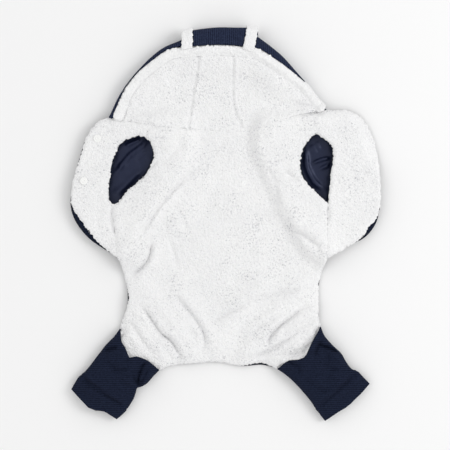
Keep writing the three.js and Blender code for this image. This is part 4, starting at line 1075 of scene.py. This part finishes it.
# Creases in the upper face of each leg, as the ones in the lining
LEG_CREASES = {
    -1: [
        ([(-150, 299), (-141, 297), (-132, 295)], 1.8, 2.6),
        ([(-106, 346), (-105, 333), (-100, 320), (-95, 312)], 2.6, 3.0),
        ([(-103, 343), (-96, 330), (-91, 320)], 1.5, 2.4), ([(-108, 343), (-112, 330), (-109, 317)], 1.5, 2.6),
        ([(-117, 308), (-121, 317), (-125, 328)], 1.1, 3.2), ([(-182, 331), (-166, 343), (-150, 352)], 0.8, 3.6),
        ([(-150, 312), (-138, 322), (-133, 334)], 0.7, 4.0),
        ([(-186, 333), (-168, 345), (-146, 359), (-119, 374)], 0.8, 2.4),
    ],
    1: [
        ([(126, 291), (139, 295), (153, 302)], 2.6, 2.6), ([(133, 286), (127, 295), (122, 307)], 1.1, 3.2),
        ([(81, 317), (88, 313), (99, 320)], 1.4, 2.6), ([(99, 315), (104, 328)], 1.0, 3.0),
        ([(126, 312), (143, 322), (160, 326)], 0.8, 3.8), ([(112, 338), (126, 348), (139, 352)], 0.7, 4.0),
        ([(142, 300), (140, 314)], 0.7, 3.2), ([(124, 377), (144, 360), (162, 343), (179, 327)], 0.8, 2.4),
    ],
}


def leg_folds(sign, plan, up):
    change = np.zeros(len(plan))
    for line, depth, breadth in LEG_CREASES[sign]:
        change += LEG_CREASE_GAIN * crease(plan, line, depth, breadth)
    change += 1.8 * waves(flat(plan), 16, 21) + 0.9 * waves(flat(plan), 6, 23)
    return np.clip(change, *LEG_CREASE_RANGE) * smoothstep(up, 0.1, 0.7)


def leg_surface(sign, inset, first_along, last_along, rows, hem, behind=0.0):
    """Rows of points round a leg, starting behind the mouth on its upper side"""
    at = leg_at(sign)
    column = 2 if sign < 0 else 4
    angle = even_angles(LEG_COUNT)
    share0, _, up0 = ring(angle, 100.0, 1.0, 0.0)
    set_back = looked_up(LEG_MOUTH, share0, 1 if sign < 0 else 2)
    begin = first_along + (set_back + behind) * smoothstep(up0, 0.0, 0.35)
    sections = []
    for t in np.linspace(0, 1, rows):
        along = begin + (last_along - begin) * t
        width = np.linalg.norm(at(along, np.zeros(LEG_COUNT)) - at(along, np.ones(LEG_COUNT)), axis=1)
        height = looked_up(LEG_SECTIONS, along, 1) * LEG_HEIGHT
        swell = hem * HEM_STEP * smoothstep(along, HEM_START - 0.012, HEM_START)
        gather = hem * HEM_GATHER * np.exp(-((along - HEM_START) / 0.014)**2)
        share, z, up = ring(angle, width, height, inset - swell + gather)
        pleat, depth = (looked_up(LEG_SECTIONS, along, column + k) for k in (0, 1))
        z = z - up * depth * height * np.exp(-((share - pleat) / 0.12)**2)
        plan = at(along, share)
        sections.append(np.column_stack([plan, z + leg_folds(sign, plan, up)]))
    return np.array(sections)


def make_legs():
    for sign in (-1, 1):
        name = SIDE_NAME[sign]
        outer = leg_surface(sign, HEM_STEP, 0.004, 1, 90, True)
        inner = leg_surface(sign, HEM_STEP + SHELL_WALL, 0.004, 1, 90, False)
        piece = new_object(f"leg_{name}_shell_cloth", *thickened(outer, inner, closed=True))
        keep(piece, f"leg_{name}_shell", NAVY)
        inset = HEM_STEP + SHELL_WALL + TUBE_GAP
        end = HEM_START - 0.02
        outer = leg_surface(sign, inset + 0.6, 0.01, end, 90, False, 0.06)
        inner = leg_surface(sign, inset + LEG_LINING_WALL, 0.01, end, 90, False, 0.06)
        make_pile(f"leg_{name}_lining", *thickened(outer, inner, closed=True), FILL, relief=None)


# Soft folds in the floor of each sleeve: points across and down, height and half-width
SLEEVE_FOLDS = {
    -1: [
        ([(-134, 68), (-118, 47), (-104, 36), (-95, 27)], 3.2, 3.4), ([(-122, 34), (-113, 29), (-104, 25)], 2.6, 2.8),
        ([(-136, 97), (-123, 84), (-104, 65)], 2.0, 4.6), ([(-108, 52), (-98, 40)], 2.0, 2.6),
    ],
    1: [
        ([(112, 36), (114, 62), (122, 78), (135, 91)], 2.8, 3.8), ([(121, 56), (131, 52), (142, 49)], 3.0, 2.6),
        ([(130, 64), (143, 57)], 2.6, 2.6), ([(120, 32), (125, 43)], 1.6, 2.4), ([(126, 28), (129, 38)], 1.2, 2.2),
    ],
}


def sleeve_folds(sign, plan):
    height = np.zeros(len(plan))
    for line, top, breadth in SLEEVE_FOLDS[sign]:
        away, share = nearest(plan, downwards(line))
        ends = np.minimum(1, 5 * np.minimum(share, 1 - share) + 0.2)
        height += SLEEVE_FOLD_GAIN * top * ends * np.exp(-(away / (0.85 * breadth))**2)
    return np.minimum(height + 0.6 * (1 + waves(flat(plan), 9, 31)), SLEEVE_FOLD_LIMIT)


def sleeve_tube(sign, inset, ends):
    axis, crown = frame_of(sign)[3:]
    side = np.array([-axis[1], axis[0]])
    angle = even_angles(SLEEVE_COUNT)
    sections = []
    for along in np.linspace(SLEEVE_SECTIONS[0][0] + ends[0] / SLEEVE_LENGTH, 1 + ends[1] / SLEEVE_LENGTH, 110):
        width = looked_up(SLEEVE_SECTIONS, along, 1) * SLEEVE_WIDTH
        height = looked_up(SLEEVE_SECTIONS, along, 2) * SLEEVE_HEIGHT
        share, z, _ = ring(angle, width, height, inset)
        plan = crown + axis * along * SLEEVE_LENGTH + side * ((share - 0.5) * width)[:, None]
        low = smoothstep(-np.sin(angle), 0.3, 0.9)
        sections.append(np.column_stack([plan, z + low * sleeve_folds(sign, plan)]))
    return np.array(sections)


def cut(piece, tool):
    """Takes a closed form away from a piece"""
    step = piece.modifiers.new("cut", "BOOLEAN")
    step.operation = "DIFFERENCE"
    step.object = tool
    step.solver = "EXACT"
    graph = bpy.context.evaluated_depsgraph_get()
    mesh = bpy.data.meshes.new_from_object(piece.evaluated_get(graph))
    piece.modifiers.clear()
    piece.data = mesh
    bpy.data.objects.remove(tool)


OPENING_TOP = 60  # well above the sleeves


def make_sleeves():
    for sign in (-1, 1):
        name = SIDE_NAME[sign]
        piece = new_object(f"sleeve_{name}_cloth", *closed_tube(sleeve_tube(sign, 0, (0, 0))))
        cut(piece, new_object("hollow", *closed_tube(sleeve_tube(sign, SLEEVE_WALL, (SLEEVE_WALL, 5)))))
        inner, outer = armhole_edges(sign)
        outline = flat(joined(even(inner, 3), even(outer[::-1], 3)))
        walls = np.array([outline + (0, 0, z) for z in (SLEEVE_HEIGHT / 2, OPENING_TOP)])
        cut(piece, new_object("opening", *closed_tube(walls)))
        piece.data.shade_smooth()
        keep(piece, f"sleeve_{name}", SATIN)


# Press studs

def turned_part(name, at, base, profile, segments=48):
    """Round form from pairs of a radius and a height above its base"""
    angle = 2 * np.pi * np.arange(segments) / segments
    rings = [np.column_stack([at[0] + radius * np.cos(angle), at[1] + radius * np.sin(angle),
                              np.full(segments, base + z)]) for radius, z in profile]
    return new_object(name, *closed_tube(np.array(rings)))


def make_studs():
    top = SHELL_WALL + 2 * GAP + LINING_WALL
    for sign, level, at, base in STUDS:
        name = f"stud_{SIDE_NAME[sign]}_{level}"
        r, h = STUD_RADIUS, STUD_HEIGHT
        if sign < 0:
            c = STUD_CAP_HEIGHT
            profile = [
                (0.4, -GAP - c), (r - 0.6, -GAP - c), (r, -GAP - c + 0.5), (r, -GAP - 0.2), (r - 0.3, -GAP),
                (1.3, -GAP), (1.3, top), (r - 0.3, top), (r, top + 0.3), (r, top + 1.1), (r - 0.3, top + 1.5),
                (r - 1.0, top + h - 0.35), (r - 1.8, top + h - 0.5), (2.6, top + h - 0.8), (2.3, top + h - 0.7),
                (2.1, top + h - 0.1), (1.8, top + h), (1.4, top + h - 0.1), (1.1, top + h - 0.7), (0.3, top + h - 0.9),
            ]
        else:
            profile = [
                (0.4, -GAP - h), (r - 1.2, -GAP - h), (r - 0.4, -GAP - h + 0.4), (r, -GAP - h + 1), (r, -GAP - 0.2),
                (r - 0.3, -GAP), (1.3, -GAP), (1.3, SHELL_WALL + LINING_WALL / 2), (0.3, SHELL_WALL + LINING_WALL / 2),
            ]
        keep(turned_part(name + "_disc", at, base, profile), name, PLASTIC)


make_body()
make_hood()
make_legs()
make_sleeves()
make_studs()

# Floor, light and camera

VIEW_X, VIEW_Y, VIEW_HEIGHT = -0.00025, -0.00245, 2.4
VIEW_WIDTH = 0.585  # what the picture takes in across, at the lining's height
LINING_LEVEL = 0.008
SENSOR = 36
FLOOR_REACH, FLOOR_DROP = 6, 0.0002
SKY = 0.83
LAMPS = (("key", (1.6, 0.3, 1.6), 1.0, 13), ("fill", (-1.3, -0.4, 2.2), 1.6, 4))  # place, size and power


def make_stage():
    mesh = bpy.data.meshes.new("floor")
    r = FLOOR_REACH
    mesh.from_pydata([(-r, -r, 0), (r, -r, 0), (r, r, 0), (-r, r, 0)], [], [(0, 1, 2, 3)])
    floor = linked("floor", mesh)
    floor.location.z = -FLOOR_DROP
    made = Surface("pale_floor", Base_Color=colour(243, 243, 243), Roughness=0.9)
    mesh.materials.append(made.material)


def make_light():
    world = bpy.data.worlds.new("studio")
    bpy.context.scene.world = world
    world.use_nodes = True
    background = world.node_tree.nodes["Background"]
    background.inputs["Color"].default_value = (1, 1, 1, 1)
    background.inputs["Strength"].default_value = SKY
    for name, place, size, power in LAMPS:
        lamp = bpy.data.lights.new(name, "AREA")
        lamp.size = size
        lamp.energy = power
        item = linked(name, lamp)
        item.location = place
        item.rotation_euler = (-Vector(place)).to_track_quat("-Z", "Y").to_euler()


def make_camera():
    camera = bpy.data.cameras.new("camera")
    camera.sensor_width = SENSOR
    camera.lens = SENSOR * (VIEW_HEIGHT - LINING_LEVEL) / VIEW_WIDTH
    item = linked("camera", camera)
    item.location = (VIEW_X, VIEW_Y, VIEW_HEIGHT)
    bpy.context.scene.camera = item


make_stage()
make_light()
make_camera()
bpy.context.scene.view_settings.view_transform = "Standard"
